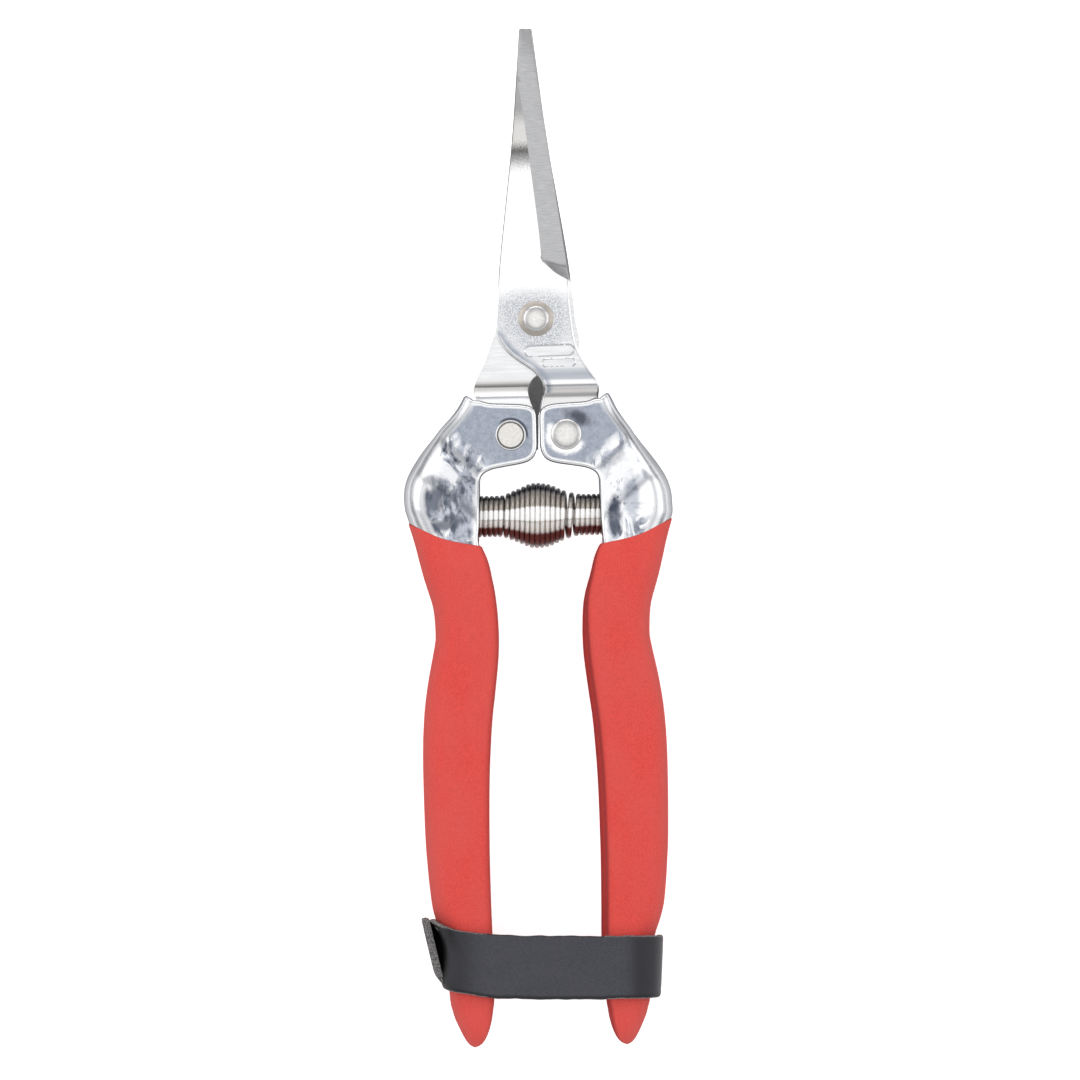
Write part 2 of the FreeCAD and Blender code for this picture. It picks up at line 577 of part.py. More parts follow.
strap_ring = ruled(strap_outer, -109.5, -130.5).cut(ruled(strap_inner, -109.0, -131.0))
strap_top = [(-26.0, -111.2), (-23.9, -111.55), (-21.9, -111.75), (-20.3, -112.5), (-18.6, -113.3), (-16.6, -113.87), (-12.9, -114.42), (-9.1, -114.78), (-1.7, -115.12), (9.6, -115.36), (17.5, -115.55), (25.0, -115.75)]
strap_low = [(25.0, -127.30), (17.5, -127.30), (9.3, -127.33), (-1.9, -127.02), (-9.4, -126.75), (-13.1, -126.25), (-16.9, -125.5), (-19.3, -124.75), (-21.2, -124.1), (-26.0, -123.3)]
strap = strap_ring.common(prism([strap_top, [strap_top[-1], strap_low[0]], strap_low, [strap_low[-1], strap_top[0]]], -12, 12))

# ---------------------------------------------------------------- hand over
NODES = {
    "front_blade": front_blade,
    "back_blade": back_blade,
    "pivot_rivet": pivot_rivet,
    "pivot_washer": pivot_washer,
    "right_handle": right_handle,
    "left_handle": left_handle,
    "right_handle_rivet": right_handle_rivet,
    "left_handle_rivet": left_handle_rivet,
    "right_grip": right_grip,
    "left_grip": left_grip,
    "spring": spring,
    "strap": strap,
}
os.makedirs("parts", exist_ok=True)
for name, shape in NODES.items():
    s = shape.copy()
    s.translate(V(0, PIVOT_Y, 0))
    if s.ShapeType != "Solid" and len(s.Solids) == 1:
        s = s.Solids[0]
    b = s.optimalBoundingBox(False)
    print(
        "%-20s %-8s solids %d valid %s vol %.1f  x %.2f %.2f  y %.2f %.2f  z %.2f %.2f"
        % (name, s.ShapeType, len(s.Solids), s.isValid(), s.Volume, b.XMin, b.XMax, b.YMin, b.YMax, b.ZMin, b.ZMax)
    )
    s.exportStep("parts/%s.step" % name)
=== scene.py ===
"""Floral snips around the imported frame: blades, handles, grips, spring and strap rebuilt as finished surfaces, with
procedural materials, a pale floor and soft studio light. Geometry is written in millimetres with the pivot at (0, 0),
then moved to the frame's origin and scaled to metres."""

import json
import math

import bpy
import numpy as np
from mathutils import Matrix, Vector
from mathutils.geometry import delaunay_2d_cdt

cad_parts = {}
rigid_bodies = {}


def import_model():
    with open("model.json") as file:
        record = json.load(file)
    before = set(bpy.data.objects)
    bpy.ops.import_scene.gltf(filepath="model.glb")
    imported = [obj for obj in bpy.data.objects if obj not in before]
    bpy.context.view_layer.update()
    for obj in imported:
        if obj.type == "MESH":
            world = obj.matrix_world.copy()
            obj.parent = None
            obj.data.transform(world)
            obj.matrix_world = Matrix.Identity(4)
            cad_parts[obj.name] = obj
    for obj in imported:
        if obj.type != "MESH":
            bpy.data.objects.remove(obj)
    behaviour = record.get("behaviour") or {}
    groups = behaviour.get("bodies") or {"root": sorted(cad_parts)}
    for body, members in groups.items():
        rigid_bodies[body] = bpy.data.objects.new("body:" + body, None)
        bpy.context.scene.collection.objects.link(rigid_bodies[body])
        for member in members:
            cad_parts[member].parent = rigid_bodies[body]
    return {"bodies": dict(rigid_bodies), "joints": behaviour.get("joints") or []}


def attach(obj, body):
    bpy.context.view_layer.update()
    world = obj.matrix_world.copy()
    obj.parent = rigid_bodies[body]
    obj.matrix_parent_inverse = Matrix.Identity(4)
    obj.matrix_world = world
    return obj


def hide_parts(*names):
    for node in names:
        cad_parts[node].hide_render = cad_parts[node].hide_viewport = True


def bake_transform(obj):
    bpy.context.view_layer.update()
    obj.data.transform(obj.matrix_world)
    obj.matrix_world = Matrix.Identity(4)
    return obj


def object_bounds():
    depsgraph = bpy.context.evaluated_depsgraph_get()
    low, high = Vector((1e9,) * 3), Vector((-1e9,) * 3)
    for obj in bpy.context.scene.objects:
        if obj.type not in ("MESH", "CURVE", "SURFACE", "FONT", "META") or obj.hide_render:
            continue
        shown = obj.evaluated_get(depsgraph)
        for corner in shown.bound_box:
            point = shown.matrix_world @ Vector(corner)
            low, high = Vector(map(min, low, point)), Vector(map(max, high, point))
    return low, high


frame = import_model()
CAD_BOX = [list(map(float, v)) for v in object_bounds()]

MM = 0.001
PIVOT_Y = [j for j in frame["joints"] if j["name"] == "handle_pivot"][0]["pos_m"][1] * 1000.0
SPRING_Y = -36.8


# ---------------------------------------------------------------- small maths
def pchip(pts):
    pts = sorted(pts)
    x = np.array([p[0] for p in pts], float)
    y = np.array([p[1] for p in pts], float)
    h = np.diff(x)
    d = np.diff(y) / h
    m = np.zeros(len(x))
    m[0], m[-1] = d[0], d[-1]
    for i in range(1, len(x) - 1):
        if d[i - 1] * d[i] > 0:
            w1, w2 = 2 * h[i] + h[i - 1], h[i] + 2 * h[i - 1]
            m[i] = (w1 + w2) / (w1 / d[i - 1] + w2 / d[i])

    def f(t):
        t = np.asarray(t, float)
        i = np.clip(np.searchsorted(x, t) - 1, 0, len(x) - 2)
        s = (t - x[i]) / h[i]
        sc = np.clip(s, 0, 1)
        a, b = (1 + 2 * sc) * (1 - sc) ** 2, sc * (1 - sc) ** 2
        c, e = sc * sc * (3 - 2 * sc), sc * sc * (sc - 1)
        v = a * y[i] + b * h[i] * m[i] + c * y[i + 1] + e * h[i] * m[i + 1]
        v = v + np.where(t < x[0], m[0] * (t - x[0]), 0) + np.where(t > x[-1], m[-1] * (t - x[-1]), 0)
        return v

    return f


def smooth(a, b, t):
    t = np.clip((np.asarray(t, float) - a) / (b - a), 0, 1)
    return t * t * (3 - 2 * t)


def resample(pts, step, closed=False):
    p = np.array(pts, float)
    if closed:
        p = np.vstack([p, p[:1]])
    d = np.r_[0, np.cumsum(np.hypot(*np.diff(p, axis=0).T))]
    n = max(2, int(round(d[-1] / step)))
    t = np.linspace(0, d[-1], n + 1)
    q = np.c_[np.interp(t, d, p[:, 0]), np.interp(t, d, p[:, 1])]
    return q[:-1] if closed else q


def curve(pts, n=8):
    """Centripetal Catmull-Rom through points, open."""
    p = np.array(pts, float)
    if len(p) == 2:
        return p
    p = np.vstack([2 * p[0] - p[1], p, 2 * p[-1] - p[-2]])
    out = []
    for i in range(1, len(p) - 2):
        p0, p1, p2, p3 = p[i - 1 : i + 3]
        t0 = 0
        t1 = t0 + max(1e-6, np.linalg.norm(p1 - p0)) ** 0.5
        t2 = t1 + max(1e-6, np.linalg.norm(p2 - p1)) ** 0.5
        t3 = t2 + max(1e-6, np.linalg.norm(p3 - p2)) ** 0.5
        for k in range(n):
            t = t1 + (t2 - t1) * k / n
            a1 = (t1 - t) / (t1 - t0) * p0 + (t - t0) / (t1 - t0) * p1
            a2 = (t2 - t) / (t2 - t1) * p1 + (t - t1) / (t2 - t1) * p2
            a3 = (t3 - t) / (t3 - t2) * p2 + (t - t2) / (t3 - t2) * p3
            b1 = (t2 - t) / (t2 - t0) * a1 + (t - t0) / (t2 - t0) * a2
            b2 = (t3 - t) / (t3 - t1) * a2 + (t - t1) / (t3 - t1) * a3
            out.append((t2 - t) / (t2 - t1) * b1 + (t - t1) / (t2 - t1) * b2)
    out.append(p[-2])
    return np.array(out)


def chain(*runs):
    """Runs of points joined end to end into one open line without repeats."""
    out = [np.array(runs[0], float)]
    for r in runs[1:]:
        r = np.array(r, float)
        if np.linalg.norm(out[-1][-1] - r[0]) < 1e-6:
            r = r[1:]
        out.append(r)
    return np.vstack(out)


def inside(poly, pts):
    x, y = pts[:, 0], pts[:, 1]
    res = np.zeros(len(pts), bool)
    n = len(poly)
    for i in range(n):
        x1, y1 = poly[i]
        x2, y2 = poly[(i + 1) % n]
        if y1 == y2:
            continue
        c = ((y1 > y) != (y2 > y)) & (x < (x2 - x1) * (y - y1) / (y2 - y1) + x1)
        res ^= c
    return res


def dist_to(line, pts, closed=True):
    """Distance of each point to a polyline."""
    a = np.array(line, float)
    b = np.roll(a, -1, axis=0) if closed else a[1:]
    a = a if closed else a[:-1]
    best = np.full(len(pts), 1e9)
    for i in range(0, len(a), 64):
        A, B = a[i : i + 64], b[i : i + 64]
        d = B - A
        L = np.maximum((d**2).sum(1), 1e-12)
        t = np.clip(((pts[:, None, :] - A) * d).sum(2) / L, 0, 1)
        q = A + t[..., None] * d
        best = np.minimum(best, np.sqrt(((pts[:, None, :] - q) ** 2).sum(2)).min(1))
    return best


def inset_line(line, d, closed=True):
    """A polyline moved to its left by d."""
    p = np.array(line, float)
    if closed:
        t = np.roll(p, -1, axis=0) - np.roll(p, 1, axis=0)
    else:
        t = np.gradient(p, axis=0)
    t /= np.maximum(np.linalg.norm(t, axis=1), 1e-9)[:, None]
    n = np.c_[-t[:, 1], t[:, 0]]
    return p + n * np.asarray(d, float).reshape(-1, 1)


def area(poly):
    x, y = np.array(poly).T
    return 0.5 * np.sum(x * np.roll(y, -1) - np.roll(x, -1) * y)


def fill(boundary, spacing, holes=(), creases=(), keep_off=0.55, extra=None):
    """Triangles over a plan domain: (points, triangles). Boundary and hole points come first and stay where they are."""
    boundary = np.array(boundary, float)
    lo, hi = boundary.min(0), boundary.max(0)
    pts = []
    rows = np.arange(lo[1], hi[1], spacing * 0.866)
    for k, y in enumerate(rows):
        xs = np.arange(lo[0] + (0.5 * spacing if k % 2 else 0), hi[0], spacing)
        pts.append(np.c_[xs, np.full(len(xs), y)])
    pts = np.vstack(pts)
    if extra is not None:
        pts = np.vstack([pts, extra])
    pts = pts[inside(boundary, pts)]
    pts = pts[dist_to(boundary, pts) > keep_off * spacing]
    for h in holes:
        pts = pts[~inside(h, pts)]
        pts = pts[dist_to(h, pts) > keep_off * spacing]
    for c in creases:
        pts = pts[dist_to(c, pts, closed=False) > keep_off * spacing]
    verts = [Vector(p) for p in boundary]
    edges = [(i, (i + 1) % len(boundary)) for i in range(len(boundary))]
    for h in holes:
        o = len(verts)
        verts += [Vector(p) for p in h]
        edges += [(o + i, o + (i + 1) % len(h)) for i in range(len(h))]
    for c in creases:
        o = len(verts)
        verts += [Vector(p) for p in c]
        edges += [(o + i, o + i + 1) for i in range(len(c) - 1)]
    verts += [Vector(p) for p in pts]
    v, _, f, _, _, _ = delaunay_2d_cdt(verts, edges, [], 1, 1e-7)
    v = np.array([tuple(p) for p in v])
    f = np.array([t for t in f if len(t) == 3])
    cen = v[f].mean(1)
    ok = inside(boundary, cen)
    for h in holes:
        ok &= ~inside(h, cen)
    f = f[ok]
    used = np.unique(f)
    remap = -np.ones(len(v), int)
    remap[used] = np.arange(len(used))
    return v[used], remap[f]


class Build:
    """Collects faces in millimetres, welded by position at the end."""

    def __init__(self):
        self.v, self.f, self.n = [], [], 0

    def add(self, v, f, flip=False):
        v = np.array(v, float)
        f = [list(map(int, q)) for q in f]
        if flip:
            f = [q[::-1] for q in f]
        self.v.append(v)
        self.f += [[i + self.n for i in q] for q in f]
        self.n += len(v)

    def grid(self, rows, close_u=False, close_v=False, flip=False):
        """rows: array (r, c, 3)."""
        g = np.array(rows, float)
        r, c = g.shape[:2]
        f = []
        for i in range(r if close_v else r - 1):
            for j in range(c if close_u else c - 1):
                a, b = i * c + j, i * c + (j + 1) % c
                d, e = ((i + 1) % r) * c + j, ((i + 1) % r) * c + (j + 1) % c
                f.append([a, b, e, d])
        self.add(g.reshape(-1, 3), f, flip)

    def mesh(self, name, turn=False, weld=1e-4):
        v = np.vstack(self.v)
        if turn:  # half a turn about Y
            v = v * np.array([-1.0, 1.0, -1.0])
        v = (v + np.array([0, PIVOT_Y, 0])) * MM
        me = bpy.data.meshes.new(name)
        me.from_pydata(v.tolist(), [], self.f)
        import bmesh

        bm = bmesh.new()
        bm.from_mesh(me)
        bmesh.ops.remove_doubles(bm, verts=bm.verts, dist=weld * MM)
        bmesh.ops.dissolve_degenerate(bm, edges=bm.edges, dist=1e-9)
        bmesh.ops.recalc_face_normals(bm, faces=bm.faces)
        for f in bm.faces:
            f.smooth = True
        bm.to_mesh(me)
        bm.free()
        ob = bpy.data.objects.new(name, me)
        bpy.context.scene.collection.objects.link(ob)
        return ob


def sharpen(ob, deg):
    ob.data.set_sharp_from_angle(angle=math.radians(deg))
    return ob


def show(ob, body, nodes, mat):
    ob.data.materials.clear()
    ob.data.materials.append(mat)
    if nodes:
        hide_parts(*nodes)
    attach(ob, body)
    return ob


# ---------------------------------------------------------------- the handle's form
SPINE = pchip(
    [
        (-12.0, 11.90), (-14.4, 13.48), (-15.9, 14.45), (-17.4, 15.63), (-18.9, 16.78), (-20.4, 17.96), (-21.9, 19.06),
        (-23.4, 20.25), (-24.9, 21.42), (-26.4, 22.46), (-27.9, 23.42), (-29.4, 24.20), (-30.9, 24.72), (-32.4, 24.98),
        (-33.9, 25.08), (-35.4, 25.05), (-36.9, 24.80), (-38.4, 24.28), (-39.9, 23.60), (-42.3, 22.66), (-45.1, 21.85),
        (-47.9, 21.12), (-50.7, 20.28), (-53.5, 19.50), (-56.3, 19.20), (-59.2, 19.12), (-62.0, 19.55), (-64.8, 20.13),
        (-67.6, 20.68), (-70.4, 21.14), (-73.2, 21.50), (-76.0, 21.72), (-78.8, 21.88), (-84.4, 21.98), (-90.1, 21.94),
        (-95.7, 21.84), (-98.5, 21.74), (-101.3, 21.56), (-104.1, 21.36), (-106.9, 21.10), (-109.7, 20.75),
        (-112.5, 20.00), (-115.7, 18.93), (-120.0, 18.38), (-124.0, 18.05), (-127.5, 17.80), (-129.4, 17.30),
        (-132.2, 16.20), (-135.0, 14.70), (-136.1, 13.80), (-138.0, 11.80),
    ]
)  # fmt: skip
MOUTH = pchip(
    [
        (-40.0, 10.4), (-42.6, 10.10), (-45.1, 9.73), (-47.9, 9.27), (-50.7, 8.75), (-53.5, 8.42), (-56.3, 8.22), (-59.2, 8.14),
        (-62.0, 8.22), (-64.8, 8.45), (-67.6, 8.78), (-70.4, 9.12), (-73.2, 9.50), (-76.0, 9.80), (-78.8, 10.01),
        (-84.4, 10.36), (-90.1, 10.55), (-95.7, 10.65), (-101.3, 10.70), (-109.7, 10.62), (-115.0, 10.52), (-127.5, 10.48),
        (-129.4, 10.76), (-132.2, 11.41), (-135.0, 12.82),
    ]
)  # fmt: skip
BODY_H = pchip([(0, 6.0), (-50, 6.0), (-98, 6.0), (-104, 5.80), (-112, 5.15), (-120, 4.45), (-127, 3.95), (-131, 3.50), (-134, 2.95), (-136.1, 2.10), (-138, 1.30)])  # fmt: skip
LUG_H = 2.35
SHEET = 1.20
RIM = 0.60
RIVET = (5.20, -21.70)


def wall_h(x, y):
    s = 0.64 * np.asarray(x, float) - 0.77 * np.asarray(y, float)
    return LUG_H + (BODY_H(y) - LUG_H) * smooth(27.4, 37.5, s)


def spine_frame(y):
    """Outer point, outward normal and crest radius of the spine at y."""
    y = np.asarray(y, float)
    x = SPINE(y)
    k = (SPINE(y + 0.3) - SPINE(y - 0.3)) / 0.6
    n = np.c_[np.ones_like(k), -k] / np.hypot(1, k)[:, None]
    r = 2.35 + 1.65 * smooth(27.4, 37.5, 0.64 * x - 0.77 * y)
    r = r - 0.45 * smooth(-17.5, -14.6, y)
    return np.c_[x, y], n, r


HANDLE_LINE = []


def channel():
    """The right handle's pressed channel."""
    b = Build()
    y0, y1 = -14.55, -130.6
    ys = np.r_[np.linspace(y0, -44, 74)[:-1], np.linspace(-44, y1, 60)]
    S, N, R = spine_frame(ys)
    C = S - N * R[:, None]
    R = np.minimum(R, wall_h(C[:, 0], C[:, 1]) - 0.15)
    C = S - N * R[:, None]
    # arc length along the crest, to place the end rims
    L = np.r_[0, np.cumsum(np.hypot(*np.diff(C, axis=0).T))]

    def at(t):
        return (
            np.c_[np.interp(t, L, C[:, 0]), np.interp(t, L, C[:, 1])],
            np.c_[np.interp(t, L, N[:, 0]), np.interp(t, L, N[:, 1])],
            np.interp(t, L, R),
        )

    K = 5
    betas = [math.pi / 2 * k / K for k in range(K + 1)]
    t_in = [RIM * (1 - math.cos(q)) for q in betas]
    t_rows = np.r_[t_in, L[(L > RIM + 0.3) & (L < L[-1] - RIM - 0.3)], [L[-1] - t for t in reversed(t_in)]]
    off = np.r_[[math.sin(q) for q in betas], np.ones(len(t_rows) - 2 * (K + 1)), [math.sin(q) for q in reversed(betas)]]
    cc, nn, rr = at(t_rows)
    crest_t = t_rows[K : len(t_rows) - K]
    crest_pts = cc[K : len(t_rows) - K]
    for side in (1, -1):  # outer skin, inner skin
        rows = []
        for c, n, r, o in zip(cc, nn, rr, off):
            rad = r - RIM + RIM * o * side
            h = float(wall_h(c[0], c[1]))
            zc = h - r
            row = []
            for i in range(9):
                q = math.pi / 2 * i / 8
                p = c + n * rad * math.sin(q)
                row.append((p[0], p[1], zc + rad * math.cos(q)))
            for i in range(1, 3):
                p = c + n * rad
                row.append((p[0], p[1], zc * (1 - i / 2)))
            full = row + [(x, y, -z) for x, y, z in reversed(row[:-1])]
            rows.append(full)
        b.grid(rows)
    # walls
    for front in (True, False):
        extra = 1.30 if front else 0.0
        yy = np.linspace(-44.0, -126.0, 42)
        inner = np.c_[MOUTH(yy) + 0.9 + extra * smooth(-39.0, -46.0, yy) * (1 - smooth(-116, -126, yy)), yy]
        c0, c1 = C[0], C[-1]
        top = curve([(0.25, -18.78), (0.33, -17.75), (0.62, -17.02), (1.2, -16.48), (2.5, -16.05), (5.66, -15.80), (8.28, -15.68), (9.9, -15.50), (10.8, -15.42), tuple(c0)], 6)
        low = curve([(11.15, -33.0), (11.12, -31.2), (11.06, -29.95), (10.75, -29.2), (10.1, -28.6), (8.85, -28.05), (6.43, -27.58), (3.3, -27.05), (1.95, -26.62), (1.1, -26.0), (0.6, -25.2), (0.32, -24.2), (0.25, -23.3)], 6)
        tip = curve([tuple(c1), (c1[0] - 0.9, c1[1] - 0.25), (12.7, c1[1] - 0.2), (11.9, -129.2), (11.55, -128.0), tuple(inner[-1])], 4)
        mid = curve([tuple(inner[0]), (11.55, -41.5), (11.35, -38.5), (11.2, -36.0), (11.15, -33.0)], 6)
        line = chain(tip, inner[::-1], mid, low, [(0.25, -23.3), (0.25, -18.78)], top)
        line = resample(line, 0.28) if False else chain(resample(chain(tip, inner[::-1], mid), 0.9), resample(low, 0.22), resample([(0.25, -23.3), (0.25, -18.78)], 0.4), resample(top, 0.22))
        line = line[::-1]  # from the crest's top round the lug and down to the crest's end; the sheet is on its left
        side = 1 if area(np.vstack([line, crest_pts[::-1]])) > 0 else -1
        rings = []
        for k, q in enumerate(betas):
            d = RIM * (1 - math.cos(q))
            ring = inset_line(line, side * d, closed=False)
            ring[0] = cc[k]
            ring[-1] = cc[len(cc) - 1 - k]
            rings.append(ring)
        zs = 1 if front else -1
        for s in (1, -1):
            rows = []
            for ring, q in zip(rings, betas):
                h = wall_h(ring[:, 0], ring[:, 1])
                z = h - RIM + s * RIM * math.sin(q)
                rows.append(np.c_[ring, zs * z])
            b.grid(rows)
        hole = np.array([(RIVET[0] + 1.92 * math.cos(a), RIVET[1] + 1.92 * math.sin(a)) for a in np.linspace(0, 2 * math.pi, 40, endpoint=False)])
        bound = np.vstack([rings[-1], crest_pts[::-1][1:-1]])
        if front:
            HANDLE_LINE.append(line)
        more = np.vstack([inset_line(line, side * d, closed=False)[::2] for d in (0.78, 0.98)])
        v, f = fill(bound, 0.85, holes=[hole], extra=more, keep_off=0.12)
        h = wall_h(v[:, 0], v[:, 1])
        b.add(np.c_[v, zs * h], f)
        b.add(np.c_[v, zs * (h - SHEET)], f)
        hh = wall_h(hole[:, 0], hole[:, 1])
        b.grid([np.c_[hole, zs * hh], np.c_[hole, zs * (hh - SHEET)]], close_u=True)
    return b


def mark_rim(ob):
    """Marks the turned edges and the spine of a handle, where its material paints light and shade."""
    co = np.array([v.co for v in ob.data.vertices]) / MM
    x, y = np.abs(co[:, 0]), co[:, 1] - PIVOT_Y
    xy = np.c_[x, y]
    w1 = np.clip((0.92 - dist_to(HANDLE_LINE[0], xy, closed=False)) / 0.2, 0, 1)
    ys = np.arange(-13.0, -60.0, -0.4)
    d2 = dist_to(np.c_[SPINE(ys), ys], xy, closed=False)
    rad = 2.35 + 1.65 * smooth(27.4, 37.5, 0.64 * x - 0.77 * y)
    w2 = np.clip((rad * 0.97 - d2) / 0.5, 0, 1)
    a = ob.data.attributes.new("rim", "FLOAT", "POINT")
    a.data.foreach_set("value", np.maximum(w1, w2).astype(np.float32))
    # the flank attribute places the painted shade on the outer flank
    a = ob.data.attributes.new("flank", "FLOAT", "POINT")  # 1 on the outline, 0 at 2.6 mm inside it
    a.data.foreach_set("value", np.clip(1 - d2 / 2.6, 0, 1).astype(np.float32))


LEAN_R = pchip([(-42, 0.0), (-37.2, 0.0), (-35.2, 0.25), (-33, 0.38), (-30.5, 0.68), (-28, 0.95), (-24, 1.15), (-20.5, 0.92), (-17.6, 0.68), (-15.5, 0.40), (-13.0, 0.35), (-10, 0.3)])
LEAN_L = pchip([(-42, 0.0), (-37.2, 0.0), (-35, 0.25), (-31, 0.50), (-24, 0.68), (-20.5, 0.55), (-18, 0.20), (-16, 0.0), (-10, 0.0)])


def lean_flank(ob, amount):
    """The two shoulders aren't quite mirror images: the right one is drawn in, the left one stands out; and each lug's
    outer corner is drawn up a little."""
    co = np.empty(len(ob.data.vertices) * 3, np.float32)
    ob.data.vertices.foreach_get("co", co)
    co = co.reshape(-1, 3).astype(float)
    x, y = np.abs(co[:, 0]) / MM, co[:, 1] / MM - PIVOT_Y
    co[:, 0] -= amount(y) * (1 - smooth(0.5, 6.0, SPINE(np.clip(y, -137.0, -12.5)) - x)) * MM
    co[:, 1] += 0.65 * (1 - smooth(0.3, 4.2, np.hypot(x - 13.0, y + 14.7))) * MM
    ob.data.vertices.foreach_set("co", co.astype(np.float32).ravel())
    ob.data.update()


# ---------------------------------------------------------------- grips
DIP = pchip([(7.0, -43.4), (9.5, -42.85), (11.1, -42.35), (13.0, -41.95), (14.7, -41.65), (16.9, -41.15), (18.7, -40.6), (21.5, -39.35), (22.7, -38.75), (24.4, -37.9), (29.0, -35.6)])  # fmt: skip
DIP0 = -41.3
TIP_OUT = pchip([(-126.0, 18.8), (-127.8, 18.60), (-129.3, 18.30), (-130.9, 17.80), (-132.2, 17.22), (-133.2, 16.78), (-134.2, 16.25), (-134.95, 15.82), (-135.5, 15.36), (-135.85, 14.95), (-136.1, 14.36)])  # fmt: skip
TIP_IN = pchip([(-126.0, 10.4), (-127.3, 10.45), (-129.4, 10.72), (-130.9, 10.98), (-132.2, 11.30), (-133.3, 11.66), (-134.2, 12.06), (-134.95, 12.50), (-135.5, 13.0), (-135.85, 13.5), (-136.1, 14.16)])  # fmt: skip
LIP = 1.25


def grip(deep=0.0):
    """The right grip: a coat over the channel, outside and in, with a full round lip along each wall's edge and a solid end."""
    b = Build()
    base = np.r_[DIP0 - np.array([0.0, 0.0, 0.05, 0.14, 0.28, 0.55, 1.1, 1.9, 2.9, 4.2, 5.6]), np.linspace(DIP0 - 7.2, -112, 58), np.linspace(-113, -133.6, 24), -136.1 + 2.5 * (1 - np.sin(np.linspace(0, 1, 9)[1:] * math.pi / 2)) ** 1.0]
    coat = pchip([(0.0, 0.0), (0.05, 0.13), (0.14, 0.20), (0.28, 0.24), (0.55, 0.28), (1.1, 0.36), (2.9, 0.62), (5.6, 0.86), (8.0, 0.9), (200.0, 0.9)])
    rows = []
    END = -136.1
    tip_ref = None
    for j, yj in enumerate(base):
        depth = DIP0 - yj
        c = float(coat(depth)) if j > 0 else -0.35
        ci = min(0.7, c + 0.0) if j > 0 else -0.3
        sl = 1 - float(smooth(2.0, 18.0, depth))
        full_round = 1.0
        g = 1 - float(smooth(-121.0, -130.0, yj))  # how deep the groove still runs
        # shrink towards the end
        e = max(0.0, (yj - END) / 5.0)
        tipk = 1.0 if e >= 1 else math.sqrt(max(0.0, 1 - (1 - e) ** 2.2))

        def loop(y_of):
            """One closed loop; y_of(x) gives the local height."""
            pts = []

            def place(fx, zrel):
                """fx is a lateral place as a function of y; zrel a function of (x, y)."""
                y = yj
                for _ in range(3):
                    x = fx(y)
                    y = y_of(x)
                return (x, y, zrel(x, y))

            def geo(y):
                y = float(y)
                k = float((SPINE(y + 0.3) - SPINE(y - 0.3)) / 0.6)
                sec = min(1.9, math.hypot(1, k))
                xo = float(SPINE(y)) + c * sec
                s = 0.64 * xo - 0.77 * y
                r = 2.35 + 1.65 * float(smooth(27.4, 37.5, s)) + c
                h = float(wall_h(xo, y)) + c
                r = min(r, h - 0.15)
                return xo, sec, r, h

            def mouth(y, front):
                m = float(MOUTH(y)) - deep * float(smooth(-46.0, -54.0, y)) * (1 - float(smooth(-116, -126, y)))
                add = (1.30 - deep * 0.6) * float(smooth(-39.0 - deep * 6, -46.0 - deep * 26, y)) * (1 - float(smooth(-116, -126, y))) if front else 0.0
                # at the dip line the coat hugs the sheet's edge
                m_sheet = float(np.interp(-y, [38, 41.5, 44], [11.35, 11.55, float(MOUTH(-44.0)) + 0.9]))
                if y > -48:
                    t = float(smooth(-42.0, -48.0, y))
                    hug = (m_sheet if y > -44 else float(MOUTH(y)) + 0.9 + add * 1.0) - max(c, -0.3)
                    m = hug * (1 - t) + (m + add) * t
                    return m
                return m + add

            th = c + SHEET + ci  # full thickness of the coated wall
            for front in (1, -1):
                half = []
                lip_r = th / 2
                # inner lip, from the inside face round to the outside face
                for i in range(7):
                    q = math.pi * (1 - i / 6) - math.pi / 2  # 90 .. -90 about the lip
                    def fx(y, q=q):
                        return mouth(y, front > 0) + lip_r - lip_r * math.cos(q)
                    def fz(x, y, q=q):
                        h = float(wall_h(x, y)) + c
                        return h - lip_r - lip_r * math.sin(q)
                    half.append((fx, fz))
                nf = 8
                for i in range(1, nf):
                    def fx(y, u=i / nf):
                        xo, sec, r, h = geo(y)
                        a = mouth(y, front > 0) + lip_r
                        return a + (xo - r * sec - a) * u
                    half.append((fx, lambda x, y: float(wall_h(x, y)) + c))
                na = 9
                for i in range(na + 1):
                    q = math.pi / 2 * i / na
                    def fx(y, q=q):
                        xo, sec, r, h = geo(y)
                        return xo - r * sec + r * sec * math.sin(q)
                    def fz(x, y, q=q):
                        xo, sec, r, h = geo(y)
                        hh = float(wall_h(x, y)) + c
                        return hh - r + r * math.cos(q)
                    half.append((fx, fz))
                outer = [place(fx, fz) for fx, fz in half]
                # inner skin from the spine's middle back to the lip
                inn = []
                for i in range(na + 1):
                    q = math.pi / 2 * (1 - i / na)
                    def fx(y, q=q):
                        xo, sec, r, h = geo(y)
                        ri = max(0.5, r - th)
                        ti = th * sec
                        full = xo - ti - ri * sec + ri * sec * math.sin(q)
                        m = mouth(y, front > 0) + lip_r
                        return m + (full - m) * g
                    def fz(x, y, q=q):
                        xo, sec, r, h = geo(y)
                        ri = max(0.5, r - th)
                        hi = float(wall_h(x, y)) + c - th
                        hi = max(0.3, hi)
                        ri = min(ri, hi)
                        return hi - ri + ri * math.cos(q)
                    inn.append((fx, fz))
                for i in range(1, nf):
                    def fx(y, u=i / nf):
                        xo, sec, r, h = geo(y)
                        ri = max(0.5, r - th)
                        full = xo - th * sec - ri * sec
                        m = mouth(y, front > 0) + lip_r
                        full = m + (full - m) * g
                        return full + (m - full) * u
                    inn.append((fx, lambda x, y: max(0.3, float(wall_h(x, y)) + c - th)))
                inner = [place(fx, fz) for fx, fz in inn]
                if front > 0:
                    first = (outer, inner)
                else:
                    second = (outer, inner)
            fo, fi = first
            so, si = second
            # lip first (inside to outside), over the front, down the spine, back over, round the back lip, inner back, inner front
            loop_pts = list(fo) + [(x, y, -z) for x, y, z in reversed(so)]
            loop_pts += [(x, y, -z) for x, y, z in reversed(si)] + list(fi)
            return np.array(loop_pts)

